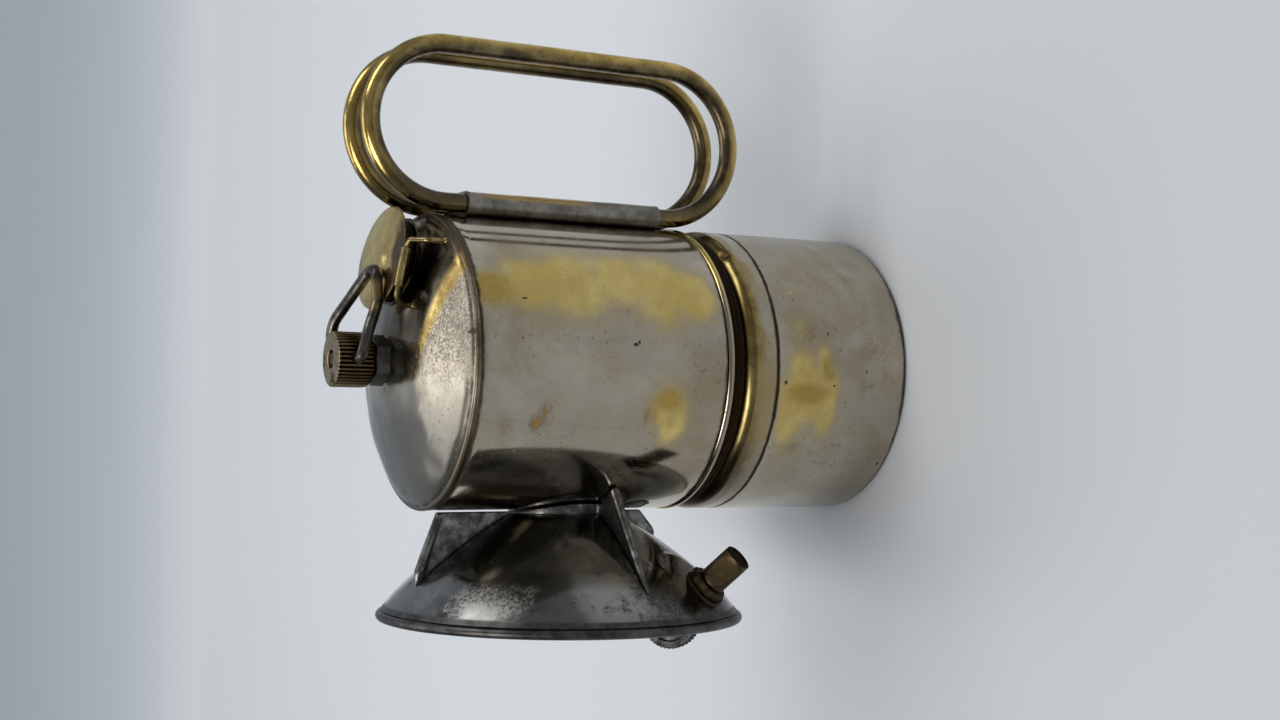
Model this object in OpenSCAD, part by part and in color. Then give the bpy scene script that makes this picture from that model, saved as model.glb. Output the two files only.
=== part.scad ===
// Carbide miners lamp: a water tank over a screw-on carbide base, with a drip valve,
// a hinged filler lid, a braced reflector with a flint striker, and a two-loop wire handle.
// Origin at the middle of the base's underside. The reflector faces -X and the handle is at +X.

/* [Tank] */
// Outer radius of the water tank
tank_r = 34; // [32:0.5:38]
// Height of the tank wall
tank_h = 60.8; // [56:0.2:70]
// Sheet thickness of the tank, dome and filler neck
sheet = 0.7; // [0.5:0.1:1]
// Height of the rolled rim under the tank wall
rim_h = 2; // [1.6:0.1:3]
// Rise of the domed top above the tank wall
dome_rise = 9.5; // [8.4:0.1:10.4]
// Radius of the dome's rounded shoulder
dome_shoulder = 2; // [1.6:0.1:2.6]

/* [Base] */
// Outer radius of the carbide base
base_r = 34.2; // [33:0.2:38]
// Height of the base cup
base_h = 36.8; // [32:0.2:50]
// Wall thickness of the base cup
base_wall = 0.8; // [0.6:0.1:1.4]
// Thickness of the base floor
base_floor = 0.9; // [0.6:0.1:2]
// Rounding of the base's bottom edge
base_edge = 1.6; // [1:0.1:3]
// Height of the screw collar above the cup
collar_h = 8; // [7:0.1:12]
// Rounding of the collar's top edge
collar_roll = 3; // [1:0.1:3.4]
// Distance from the base's outer face in to the thread
thread_in_by = 6.1; // [5.2:0.1:8]
// Wall thickness of the threaded neck
thread_wall = 0.8; // [0.6:0.1:1.4]
// Thickness of the rubber gasket
gasket_h = 3.4; // [2:0.1:5]
// Distance of the rubber gasket's edge inside the base's outer face
gasket_in_by = 1; // [0.4:0.1:2.6]

/* [Filter] */
// Thickness of the felt gas filter
felt_h = 3; // [1.5:0.1:3.6]
// Thickness of the perforated filter plate
filter_plate_t = 0.5; // [0.3:0.1:1]
// Number of holes in the filter plate
filter_holes = 12; // [6:1:16]
// Radius of a filter plate hole
filter_hole_r = 2; // [1:0.1:2.5]

/* [Valve] */
// Radius of the valve post's flange on the dome
post_r = 5.8; // [5.4:0.1:7]
// Height of the flange
post_h = 0.3; // [0.2:0.1:2]
// Hex size of the gland nut across its flats
nut_flats = 10; // [9.4:0.1:13]
// Height of the gland nut
nut_h = 3.5; // [2.8:0.1:6]
// Radius of the valve stem
stem_r = 1.5; // [1:0.1:2]
// Radius of the valve knob
knob_r = 6.25; // [5.6:0.05:7]
// Height of the valve knob
knob_h = 8.6; // [7.6:0.1:12]
// Number of knurls round the knob
knob_knurls = 40; // [24:1:60]
// Outer radius of the water drip tube
drip_r = 2.6; // [2:0.1:4]
// Radius of the drip tube's bore
drip_bore = 1.2; // [0.8:0.1:1.4]
// Length of the drip tube below the tank floor
drip_len = 20; // [10:0.5:28]

/* [Lever] */
// Radius of the lever wire
lever_r = 1.3; // [0.9:0.02:1.4]
// Height of the lever pivot above the knob's underside
lever_up = 4.4; // [3:0.1:5.5]
// Reach of the lever from the knob's axis
lever_reach = 20; // [18:0.1:23]
// Fall of the lever's tip below its pivot
lever_fall = 4; // [3:0.1:4.2]
// Rise of the lever's far leg above its pivot
lever_hump = 2.6; // [0:0.1:3.5]
// Width of the lever between wire centres at its tip
lever_tip_w = 5; // [4.6:0.1:7]
// Offset of the lever's tip towards the lid's hinge
lever_sway = 3.5; // [2:0.1:4]

/* [Filler] */
// Outer radius of the filler neck
neck_r = 9.8; // [8:0.1:11]
// Height of the middle of the neck's mouth above the tank wall
neck_rise = 7.2; // [6.4:0.1:7.6]
// Distance from the neck to the tank's outer wall
neck_inset = 1.6; // [1.5:0.1:4]
// Slope of the neck's mouth and of the lid
lid_slant = 11; // [6:0.5:14]
// Lean of the mouth and the lid towards their hinge
lid_lean = 4.2; // [2:0.1:5]
// Radius of the filler lid
lid_r = 12; // [11.2:0.1:12.4]
// Sheet thickness of the lid
lid_t = 0.6; // [0.4:0.1:0.9]
// Rise of the lid's crown above its edge
lid_crown = 0.9; // [0.5:0.1:1]
// Thickness of the lid gasket
lid_gasket_h = 3.2; // [2:0.1:3.4]
// Radius of the lid gasket
lid_gasket_r = 9.4; // [8.6:0.1:10]
// Radius of the lid's hinge wire
hinge_wire_r = 0.62; // [0.4:0.02:0.8]
// Outer radius of the lid's rolled hinge knuckle
knuckle_r = 1.05; // [1:0.05:1.4]
// Length of the lid's hinge knuckle
knuckle_len = 8.6; // [6:0.1:10]
// Offset of the knuckle from the lid's middle, towards the knob
knuckle_shift = 3; // [2:0.1:4]

/* [Reflector] */
// Outer radius of the reflector
refl_r = 43.2; // [38:0.2:46]
// Depth of the reflector's full curve
refl_curve = 28.3; // [26:0.1:32]
// Depth of the reflector at its flat middle
refl_depth = 24; // [20:0.1:24.8]
// Sheet thickness of the reflector
refl_t = 0.6; // [0.4:0.1:1]
// Radius of the reflector's rolled rim
refl_roll = 1.1; // [0.8:0.1:1.6]
// Distance from the tank wall to the reflector's rim
refl_stand = 25.5; // [25.4:0.1:30]
// Height of the reflector's axis above the tank's rim
refl_rise = 25.7; // [22:0.1:34]
// Radius of the brace hub
hub_r = 12.5; // [9:0.1:15]
// Thickness of a brace fin
fin_t = 1.2; // [0.8:0.1:2]
// Height of the top fin's edge above the reflector axis, at the tank
fin_top = 31.6; // [24:0.2:34]
// Depth of the lower fin's edge under the reflector axis, at the tank
fin_low = 21; // [16:0.2:26]
// Half width of the side fins at the tank
fin_side = 19.5; // [15:0.2:24]
// Distance of the side fins below the reflector axis
fin_drop = 4.5; // [0:0.1:7]

/* [Burner] */
// Outer radius of the burner socket
socket_r = 5; // [4.4:0.1:6.5]
// Length of the burner socket inside the reflector
socket_len = 6; // [5:0.1:9]
// Hex size of the reflector nut across its flats
refl_nut_flats = 14; // [13.5:0.1:18]
// Thickness of the reflector nut
refl_nut_h = 3; // [2:0.1:4]
// Outer radius of the gas tube
gas_r = 3; // [2.4:0.1:3.6]
// Wall thickness of the gas tube
gas_wall = 0.7; // [0.4:0.1:1]
// Distance of the gas tube from the tank's axis
gas_x = 22; // [16:0.5:24]
// Length of the burner's ceramic tip
tip_len = 6; // [4:0.1:9]
// Radius of the ceramic tip at its foot
tip_r = 3; // [2.4:0.1:4]

/* [Striker] */
// Distance of the striker's seat inside the reflector's edge
spark_in = 6.4; // [5.8:0.1:8]
// Angle of the striker from straight down, towards the lamp's right-hand side
spark_turn = 52; // [20:1:60]
// Distance from the reflector's back to the striker wheel's axle
wheel_in = 10.8; // [10.6:0.1:13]
// Radius of the striker wheel
wheel_r = 6.9; // [5:0.1:6.9]
// Width of the striker wheel
wheel_w = 3.6; // [2.4:0.1:5]
// Number of teeth on the striker wheel
wheel_teeth = 44; // [24:1:60]
// Radius of the striker axle
axle_r = 1; // [0.7:0.05:1.4]
// Radius of the flint
flint_r = 1.2; // [0.8:0.05:1.4]
// Radius of the knurled flint cap
cap_r = 3.3; // [3.2:0.1:4.2]
// Length of the knurled flint cap
cap_len = 8.8; // [8:0.1:14]
// Hex size of the striker's clamp nut across its flats
clamp_flats = 8.7; // [7.5:0.1:11]
// Thickness of the striker's clamp nut
clamp_h = 2.4; // [1.5:0.1:3.5]
// Number of curls in the flint spring
spring_curls = 8; // [5:1:9]

/* [Handle] */
// Radius of the handle wire
wire_r = 2.2; // [1.8:0.05:2.8]
// Height of a handle loop between wire centres
loop_h = 92.8; // [80:0.2:100]
// Width of a handle loop between wire centres
loop_w = 36.2; // [28:0.2:44]
// Distance between the two loops
loop_gap = 12.4; // [8:0.1:14]
// Height of the loops' middle above the tank's rim
loop_rise = 30.5; // [26:0.1:36]
// Length of the handle clip
clip_len = 49.6; // [30:0.2:54]
// Sheet thickness of the handle clip
clip_t = 0.5; // [0.4:0.05:0.9]

/* [Hidden] */
$fn = 96;

// Clearances
fit = 0.05;
run = 0.06;
pin_run = 0.1;
seat = 0.05;
brace_gap = 0.4;
knob_gap = 0.2;
over = 1;

// Heights up the lamp's axis
collar_z = base_h + collar_h;
gasket_z = collar_z + seat;
floor_z = gasket_z + gasket_h + seat;
tank_z = floor_z + rim_h;
wall_z = tank_z + tank_h;
dome_z = wall_z + dome_rise;
post_z = dome_z + post_h;
nut_z = post_z + nut_h;
knob_z = nut_z + knob_gap;
pivot_z = knob_z + lever_up;

// Tank and base joints
floor_t = 0.8;
rim_out = 0.3;
rim_round = 0.8;
lap_h = 3.5;
tank_in = tank_r - sheet;
lap_out = tank_in - fit;
lap_in = lap_out - 0.8;
thread_r = base_r - thread_in_by;
gasket_r = base_r - gasket_in_by;
skirt_in = thread_r + pin_run;
spigot_h = 3.4;
neck_len = 10;
ledge_w = 1.1;
ledge_h = 0.6;
thread_in = thread_r - thread_wall;
filter_r = thread_in - 0.25;
plate_z = floor_z - seat - felt_h - seat - filter_plate_t;

// Dome: a crown arc that runs into the rounded shoulder
shoulder_c = tank_r - dome_shoulder;
crown_r = (pow(shoulder_c, 2) + pow(dome_rise, 2) - pow(dome_shoulder, 2))
    / (2 * (dome_rise - dome_shoulder));
crown_a = asin(shoulder_c / (crown_r - dome_shoulder));

// Height of the dome's crown at distance r from the axis
function dome_at(r) = dome_z - crown_r + sqrt(pow(crown_r, 2) - pow(r, 2));

// Valve
post_bore = stem_r + run;
gland_r = nut_flats / 2 - 1.2;
gland_wall = 0.8;
packing_h = 1;
spigot_z = nut_z - gland_wall - packing_h - 2 * seat;
stem_recess = 0.6;
seat_flange_r = 6;
seat_flange_h = 1.2;
seat_cone = 1;
pin_in = 3;

// Filler: its own frame lies on the slanted mouth of the neck
neck_x = tank_r - neck_inset - neck_r;
mouth_z = wall_z + neck_rise;
lid_z = seat + lid_gasket_h + seat;
hinge_y = -(lid_r + 0.7);
hinge_z = lid_z + lid_t / 2;
bar_end = knuckle_len / 2 + hinge_wire_r;
foot_left_out = 2 * knuckle_r + 0.3;
foot_left_in = 2 * hinge_wire_r;
foot_right_out = 1.5 * knuckle_r;
foot_right_fwd = 8 * hinge_wire_r;
tab_in = 2.2;

// Reflector: its own frame has +z forward along the beam and +x up
rim_x = tank_r + refl_stand;
refl_up = tank_z + refl_rise;
flat_r = refl_r * sqrt(1 - refl_depth / refl_curve);
back_x = rim_x - refl_depth - refl_t;
socket_in = tank_r - 4;
socket_out = rim_x - refl_depth + socket_len;
jet_r = 0.5;

// Striker: its own frame has +z out along the flint tube, square to the reflector
spark_r = refl_r - spark_in;
spark_slope = 2 * refl_curve * spark_r / pow(refl_r, 2);
spark_a = 90 + atan(1 / spark_slope);
sleeve_bore = flint_r + 0.15;
sleeve_r = sleeve_bore + 1;
bracket_t = 0.8;
bracket_z = -refl_t - 0.4 - bracket_t;
flange_t = 0.7;
flange_r = sleeve_r + 1.2;
sleeve_z = -wheel_in + wheel_r + 0.5;
cheek_y = max(wheel_w / 2 + 0.4, sleeve_r + 0.15);
cheek_w = 3;
cap_z = clamp_h + 0.2;
cap_end = 1.2;
flint_z = -wheel_in + wheel_r + 0.25;
flint_len = 6;
spring_r = flint_r - 0.25;
spring_wire = 0.25;
spring_z = flint_z + flint_len + spring_wire + seat;
spring_top = cap_z + cap_len - cap_end - spring_wire - seat;

// Handle: the loops' wires sit a little into the tank's curve
loop_up = tank_z + loop_rise;
grip_inset = 0.5;
clip_drop = 1.2;
grip_x = tank_r + clip_t + fit + wire_r - grip_inset;
loop_x = grip_x + loop_w / 2;
grip_r = wire_r + fit;

// Points on an arc from angle a to b
function arc(c, r, a, b, n = 10) =
    [for (i = [0:n]) let (t = a + (b - a) * i / n) c + r * [cos(t), sin(t)]];

// Depth of the reflector's inner face behind its rim at distance r from the beam
function bowl(r) = min(refl_depth, refl_curve * (1 - pow(r / refl_r, 2)));

// Radius of the reflector's curve at depth d behind its rim
function bowl_r(d) = refl_r * sqrt(1 - d / refl_curve);

// A point in the lid's frame, in the lamp's frame
function on_mouth(p) =
    let (y = p.y * cos(lid_lean) - p.z * sin(lid_lean), z = p.y * sin(lid_lean) + p.z * cos(lid_lean))
    [
        neck_x + p.x * cos(lid_slant) + z * sin(lid_slant),
        y,
        mouth_z - p.x * sin(lid_slant) + z * cos(lid_slant)
    ];

function unit(v) = v / norm(v);

// A bent wire's centre line: straight runs between corners p, each corner rounded by its radius in r
function bend(p, r, n = 6) = [
    p[0],
    for (i = [1:len(p) - 2])
        let (a = unit(p[i - 1] - p[i]), b = unit(p[i + 1] - p[i]), h = acos(a * b) / 2,
             c = p[i] + unit(a + b) * r[i - 1] / sin(h),
             e = p[i] + a * r[i - 1] / tan(h) - c, f = p[i] + b * r[i - 1] / tan(h) - c,
             w = 180 - 2 * h)
        for (k = [0:n]) c + (sin((1 - k / n) * w) * e + sin(k / n * w) * f) / sin(w),
    p[len(p) - 1]
];

// A round wire along the points p; up is a direction that the wire never runs along
module wire(p, r, up, sides = 12) {
    last = len(p) - 1;
    ways = [for (i = [0:last]) unit(p[min(i + 1, last)] - p[max(i - 1, 0)])];
    rings = [
        for (i = [0:last])
            let (n = unit(cross(up, ways[i])), b = cross(ways[i], n))
            for (k = [0:sides - 1]) p[i] + r * (cos(360 * k / sides) * n + sin(360 * k / sides) * b)
    ];
    walls = [
        for (i = [0:last - 1], k = [0:sides - 1])
            let (a = i * sides + k, b = i * sides + (k + 1) % sides)
            each [[a, a + sides, b + sides], [a, b + sides, b]]
    ];
    caps = [
        for (k = [1:sides - 2])
            each [[0, k, k + 1], [last * sides, last * sides + k + 1, last * sides + k]]
    ];
    polyhedron(points = rings, faces = concat(walls, caps), convexity = 8);
}

// A bar with n knurls of depth d round it
module knurled(r, h, n, d) {
    linear_extrude(h)
        polygon([
            for (i = [0:n - 1], j = [0:2])
                let (t = 360 * (i + [0, 0.3, 0.65][j]) / n)
                (j == 2 ? r - d : r) * [cos(t), sin(t)]
        ]);
}

module ring(r_out, r_in, h) {
    difference() {
        cylinder(r = r_out, h = h);
        translate([0, 0, -over])
            cylinder(r = r_in, h = h + 2 * over);
    }
}

module hex(flats, h) {
    cylinder(r = flats / 2 / cos(30), h = h, $fn = 6);
}

module at_mouth() {
    translate([neck_x, 0, mouth_z])
        rotate([lid_lean, lid_slant, 0])
            children();
}

module at_beam() {
    translate([-rim_x, 0, refl_up])
        rotate([0, -90, 0])
            children();
}

// A frame on the beam, x_in out from the lamp's axis, with +z forward
module along_beam(x_in) {
    translate([-x_in, 0, refl_up])
        rotate([0, -90, 0])
            children();
}

module at_striker() {
    at_beam()
        rotate([0, 0, 180 + spark_turn])
            translate([spark_r, 0, -bowl(spark_r) - refl_t])
                rotate([0, spark_a, 0])
                    children();
}

// Sub-parts of the base

module base_cup() {
    color("silver")
        rotate_extrude()
            polygon(concat(
                [[0, 0]],
                arc([base_r - base_edge, base_edge], base_edge, -90, 0, 6),
                [[base_r, base_h], [base_r - base_wall, base_h]],
                arc([base_r - base_edge, base_floor + base_edge - base_wall], base_edge - base_wall, 0, -90, 6),
                [[0, base_floor]]
            ));
}

module base_collar() {
    spigot_r = base_r - base_wall - fit;
    color("darkkhaki")
        rotate_extrude()
            polygon(concat(
                [[spigot_r - base_wall, base_h - spigot_h], [spigot_r, base_h - spigot_h]],
                [[spigot_r, base_h], [base_r, base_h]],
                arc([base_r - collar_roll, collar_z - collar_roll], collar_roll, 0, 90, 8),
                [[skirt_in, collar_z], [skirt_in, base_h + 1]],
                [[skirt_in + base_wall, base_h + 1], [skirt_in + base_wall, collar_z - base_wall]],
                [[base_r - base_wall - collar_roll, collar_z - base_wall]],
                [[base_r - base_wall - 0.5, collar_z - collar_roll]],
                [[base_r - base_wall - 0.5, base_h + base_wall], [spigot_r - base_wall, base_h + base_wall]]
            ));
}

module base_gasket() {
    gasket_round = gasket_h / 2 - 0.4;
    color("#241f1c")
        translate([0, 0, gasket_z])
            rotate_extrude()
                polygon(concat(
                    [[thread_r + pin_run, 0]],
                    arc([gasket_r - gasket_round, gasket_round], gasket_round, -90, 0, 6),
                    arc([gasket_r - gasket_round, gasket_h - gasket_round], gasket_round, 0, 90, 6),
                    [[thread_r + pin_run, gasket_h]]
                ));
}

// Sub-parts of the tank

module screw_neck() {
    color("#a88d4a")
        translate([0, 0, floor_z - neck_len]) {
            ring(thread_r, thread_in, neck_len);
            translate([0, 0, plate_z - seat - ledge_h - floor_z + neck_len])
                ring(thread_in + fit, thread_in - ledge_w, ledge_h);
        }
}

module filter_plate() {
    color("#9a8250")
        translate([0, 0, plate_z])
            difference() {
                cylinder(r = filter_r, h = filter_plate_t);
                translate([0, 0, -over])
                    cylinder(r = drip_r + pin_run, h = 2 * over + filter_plate_t);
                for (i = [0:filter_holes - 1])
                    rotate([0, 0, 360 * i / filter_holes])
                        translate([filter_r * 0.6, 0, -over])
                            cylinder(r = filter_hole_r, h = 2 * over + filter_plate_t);
            }
}

module felt_filter() {
    color("#cfc4a8")
        translate([0, 0, plate_z + filter_plate_t + seat])
            ring(filter_r, drip_r + pin_run, felt_h);
}

module tank_floor() {
    rim_r = tank_r + rim_out;
    color("silver")
        difference() {
            rotate_extrude()
                polygon(concat(
                    [[0, floor_z]],
                    arc([rim_r - rim_round, floor_z + rim_round], rim_round, -90, 0, 6),
                    arc([rim_r - rim_round, tank_z - rim_round], rim_round, 0, 90, 6),
                    [[lap_out, tank_z], [lap_out, tank_z + lap_h], [lap_in, tank_z + lap_h]],
                    [[lap_in, floor_z + floor_t], [0, floor_z + floor_t]]
                ));
            translate([0, 0, floor_z - over])
                cylinder(r = drip_r + fit, h = floor_t + 2 * over);
            translate([-gas_x, 0, floor_z - over])
                cylinder(r = gas_r + fit, h = floor_t + 2 * over);
        }
}

module water_tank() {
    color("silver")
        difference() {
            translate([0, 0, tank_z])
                ring(tank_r, tank_in, tank_h);
            along_beam(socket_in)
                cylinder(r = socket_r + fit, h = tank_r);
        }
}

module tank_top() {
    color("silver")
        difference() {
            rotate_extrude()
                polygon(concat(
                    arc([shoulder_c, wall_z], dome_shoulder, 0, 90 - crown_a, 8),
                    arc([0, dome_z - crown_r], crown_r, 90 - crown_a, 90, 8),
                    arc([0, dome_z - crown_r], crown_r - sheet, 90, 90 - crown_a, 8),
                    [[lap_in, wall_z + 1], [lap_in, wall_z - lap_h], [lap_out, wall_z - lap_h], [lap_out, wall_z]]
                ));
            translate([0, 0, dome_z - dome_rise])
                cylinder(r = gland_r + fit, h = dome_rise + over);
            translate([neck_x, 0, wall_z])
                cylinder(r = neck_r + fit, h = dome_rise + over);
            for (foot = [foot_left, foot_right])
                translate([foot.x, foot.y, wall_z])
                    cylinder(r = hinge_wire_r + pin_run, h = dome_rise + over);
        }
}

module drip_tube() {
    top = floor_z + floor_t;
    color("#b09a5c")
        difference() {
            union() {
                translate([0, 0, top])
                    cylinder(r = seat_flange_r, h = seat_flange_h);
                translate([0, 0, floor_z - drip_len])
                    cylinder(r = drip_r, h = drip_len + floor_t + fit);
            }
            translate([0, 0, floor_z - drip_len - over])
                cylinder(r = drip_bore, h = drip_len + 3 * over + seat_flange_h);
            translate([0, 0, top + seat_flange_h - seat_cone])
                cylinder(r1 = drip_bore, r2 = drip_bore + seat_cone, h = seat_cone);
            translate([0, 0, top + seat_flange_h - fit])
                cylinder(r = drip_bore + seat_cone, h = over);
        }
}

// One leg up from the floor, a quarter bend and a leg out to the burner socket
module gas_run(r) {
    bend_r = gas_r * 2;
    translate([-gas_x, 0, floor_z])
        cylinder(r = r, h = refl_up - bend_r - floor_z);
    translate([-gas_x - bend_r, 0, refl_up - bend_r])
        rotate([90, 0, 0])
            rotate_extrude(angle = 90)
                translate([bend_r, 0])
                    circle(r);
    along_beam(gas_x + bend_r)
        cylinder(r = r, h = socket_in + 3 - gas_x - bend_r);
}

module gas_tube() {
    color("#a99457")
        difference() {
            gas_run(gas_r);
            gas_run(gas_r - gas_wall);
        }
}

// Sub-parts of the valve

module valve_post() {
    color("#77736a")
        difference() {
            union() {
                translate([0, 0, dome_z])
                    cylinder(r = post_r, h = post_h);
                translate([0, 0, wall_z])
                    cylinder(r = gland_r, h = spigot_z - wall_z);
            }
            translate([0, 0, wall_z - over])
                cylinder(r = post_bore, h = spigot_z - wall_z + 2 * over);
        }
}

module packing_ring() {
    color("#4a4238")
        translate([0, 0, spigot_z + seat])
            ring(gland_r, post_bore, packing_h);
}

module gland_nut() {
    color("#5b5852")
        translate([0, 0, post_z])
            difference() {
                hex(nut_flats, nut_h);
                translate([0, 0, -over])
                    cylinder(r = gland_r + fit, h = nut_h - gland_wall + over);
                translate([0, 0, -over])
                    cylinder(r = post_bore, h = nut_h + 2 * over);
            }
}

module valve_stem() {
    tip_z = floor_z + floor_t + seat_flange_h;
    tip_h = seat_cone * 1.6;
    color("#8d8877") {
        translate([0, 0, tip_z + tip_h / 2])
            cylinder(r = stem_r, h = knob_z + knob_h - stem_recess - tip_z - tip_h / 2);
        translate([0, 0, tip_z - tip_h / 2])
            cylinder(r1 = stem_r * 0.3, r2 = stem_r, h = tip_h);
    }
}

module valve_knob() {
    color("#6f5c33")
        translate([0, 0, knob_z])
            difference() {
                knurled(knob_r, knob_h, knob_knurls, 0.35);
                translate([0, 0, -over])
                    cylinder(r = stem_r + 0.02, h = knob_h + 2 * over);
                for (side = [-90, 90])
                    translate([0, 0, lever_up])
                        rotate([side, 0, 0])
                            translate([0, 0, pin_in])
                                cylinder(r = lever_r + pin_run, h = knob_r);
            }
}

module lever_wire() {
    leg_y = knob_r + lever_r + 0.7;
    half_tip = lever_tip_w / 2;
    corners = [
        [0, -pin_in - pin_run, 0],
        [0, -leg_y, 0],
        [knob_r, -leg_y, -lever_fall * 0.4],
        [lever_reach * 0.64, -half_tip - lever_sway - 1, -lever_fall],
        [lever_reach, -half_tip - lever_sway, -lever_fall],
        [lever_reach, half_tip - lever_sway, -lever_fall],
        [lever_reach * 0.33, leg_y, lever_hump],
        [0, leg_y, 0],
        [0, pin_in + pin_run, 0]
    ];
    color("#57544e")
        translate([0, 0, pivot_z])
            wire(bend(corners, [1.6, 3, 5, 2.2, 2.2, 4, 1.2]), lever_r, [0, 0, 1]);
}

// Sub-parts of the filler

module filler_neck() {
    color("#8f8b82")
        difference() {
            translate([neck_x, 0, wall_z + 0.8])
                ring(neck_r, neck_r - sheet, 2 * neck_rise);
            at_mouth()
                cylinder(r = 2 * neck_r, h = 3 * neck_rise);
        }
}

foot_left = on_mouth([-knuckle_shift - bar_end - foot_left_out, 0, 0]) + [0, hinge_y + foot_left_in, 0];
foot_right = on_mouth([-knuckle_shift + bar_end + foot_right_out, 0, 0]) + [0, hinge_y - foot_right_fwd, 0];

module hinge_wire() {
    root = wall_z + 0.8;
    skin = dome_at(norm([foot_left.x, foot_left.y]));
    bar = [for (side = [-1, 1]) on_mouth([-knuckle_shift + side * bar_end, hinge_y, hinge_z])];
    path = [
        [foot_left.x, foot_left.y, skin - 3],
        [foot_left.x, foot_left.y, skin + 0.6],
        bar[0] + [-1.8, 0, 0.3],
        bar[0],
        bar[1],
        bar[1] + [1.2, -0.7, -0.3],
        [foot_right.x, foot_right.y, mouth_z - 1],
        [foot_right.x, foot_right.y, root]
    ];
    color("#8a7a45")
        wire(bend(path, [1.6, 1.4, 0.1, 0.1, 0.6, 1.6], 4), hinge_wire_r, [0, 1, 0], 10);
}

module lid_gasket() {
    color("#3a2f26")
        at_mouth()
            translate([0, 0, seat])
                cylinder(r = lid_gasket_r, h = lid_gasket_h);
}

module water_lid() {
    dome = (pow(lid_r, 2) + pow(lid_crown, 2)) / (2 * lid_crown);
    half = asin(lid_r / dome);
    color("#94874f")
        at_mouth()
            translate([0, 0, lid_z])
                difference() {
                    union() {
                        rotate_extrude()
                            polygon(concat(
                                [[0, 0], [lid_r, 0]],
                                arc([0, lid_t + lid_crown - dome], dome, 90 - half, 90, 8)
                            ));
                        translate([-knuckle_shift - knuckle_len / 2, hinge_y, 0])
                            cube([knuckle_len, tab_in, lid_t]);
                        translate([-knuckle_shift - knuckle_len / 2, hinge_y, lid_t / 2])
                            rotate([0, 90, 0])
                                cylinder(r = knuckle_r, h = knuckle_len);
                    }
                    translate([-knuckle_shift - knuckle_len, hinge_y, lid_t / 2])
                        rotate([0, 90, 0])
                            cylinder(r = hinge_wire_r + run, h = 2 * knuckle_len);
                }
}

// Sub-parts of the burner

module burner_socket() {
    color("#a48f52")
        along_beam(socket_in)
            difference() {
                cylinder(r = socket_r, h = socket_out - socket_in);
                translate([0, 0, -over])
                    cylinder(r = gas_r + fit, h = 3 + fit + over);
                translate([0, 0, -over])
                    cylinder(r = gas_r - gas_wall, h = socket_out);
            }
}

module burner_base() {
    plug = 3;
    collar = 2.4;
    color("#b39b58")
        along_beam(socket_out - plug)
            difference() {
                union() {
                    cylinder(r = gas_r - gas_wall - fit, h = plug + fit);
                    translate([0, 0, plug + fit])
                        hex(2 * tip_r + 1.4, collar);
                }
                translate([0, 0, -over])
                    cylinder(r = jet_r * 2, h = plug + collar + 2 * over);
            }
}

module burner_tip() {
    color("#e8e2d2")
        along_beam(socket_out + 2.4 + 2 * fit)
            difference() {
                cylinder(r1 = tip_r, r2 = tip_r * 0.6, h = tip_len);
                translate([0, 0, -over])
                    cylinder(r = jet_r, h = tip_len + 2 * over);
            }
}

// The bowl's section out to the rim, moved back by d
function bowl_line(d) = [for (i = [0:14]) let (r = flat_r + (refl_r - refl_roll - flat_r) * i / 14) [r, -bowl(r) - d]];

module reflector() {
    rim_d = bowl(refl_r - refl_roll);
    color("#4a4c50")
        at_beam()
            difference() {
                union() {
                    rotate_extrude()
                        polygon(concat(
                            [[socket_r + fit, -refl_depth]],
                            bowl_line(0),
                            [for (i = [14:-1:0]) bowl_line(refl_t)[i]],
                            [[socket_r + fit, -refl_depth - refl_t]]
                        ));
                    translate([0, 0, -rim_d / 2])
                        rotate_extrude()
                            translate([refl_r - refl_roll, 0])
                                circle(refl_roll);
                }
                rotate([0, 0, 180 + spark_turn])
                    translate([spark_r, 0, -bowl(spark_r) - refl_t])
                        rotate([0, spark_a, 0])
                            translate([0, 0, -2])
                                cylinder(r = sleeve_r + fit, h = 4);
            }
}

// Everything in front of the reflector's back, with a seat's clearance
module bowl_space() {
    at_beam()
        rotate_extrude()
            polygon(concat(
                [[0, -refl_depth - refl_t - seat]],
                bowl_line(refl_t + seat),
                [[refl_r + 2, -bowl(refl_r - refl_roll)], [refl_r + 2, refl_curve], [0, refl_curve]]
            ));
}

module reflector_brace() {
    top_in = 7;
    side_in = 6.6;
    side_rim = sqrt(pow(bowl_r(side_in), 2) - pow(fin_drop, 2));
    side_x = tank_r - 5.5;
    low_rim = fin_low + 4;
    low_x = 5.4;
    tank_edge = tank_r - 7;
    color("#5c5d5f")
        difference() {
            union() {
                along_beam(tank_edge)
                    cylinder(r = hub_r, h = back_x - tank_edge);
                translate([0, fin_t / 2, refl_up])
                    rotate([90, 0, 0])
                        linear_extrude(fin_t)
                            polygon([
                                [-rim_x, 0], [-rim_x + top_in, bowl_r(top_in)],
                                [-tank_r, fin_top], [-tank_edge, fin_top],
                                [-tank_edge, -fin_low], [-tank_r, -fin_low],
                                [-tank_r - low_x, -low_rim], [-rim_x, -low_rim]
                            ]);
                translate([0, 0, refl_up - fin_drop - fin_t / 2])
                    linear_extrude(fin_t)
                        polygon([
                            [-rim_x + side_in, -side_rim], [-side_x, -fin_side], [-tank_edge, -fin_side],
                            [-tank_edge, fin_side], [-side_x, fin_side], [-rim_x + side_in, side_rim]
                        ]);
            }
            bowl_space();
            cylinder(r = tank_r + brace_gap, h = wall_z);
            along_beam(0)
                cylinder(r = socket_r + fit, h = rim_x);
        }
}

module reflector_nut() {
    color("#8c7b48")
        along_beam(rim_x - refl_depth + fit)
            difference() {
                hex(refl_nut_flats, refl_nut_h);
                translate([0, 0, -over])
                    cylinder(r = socket_r + fit, h = refl_nut_h + 2 * over);
            }
}

// Sub-parts of the striker

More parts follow.
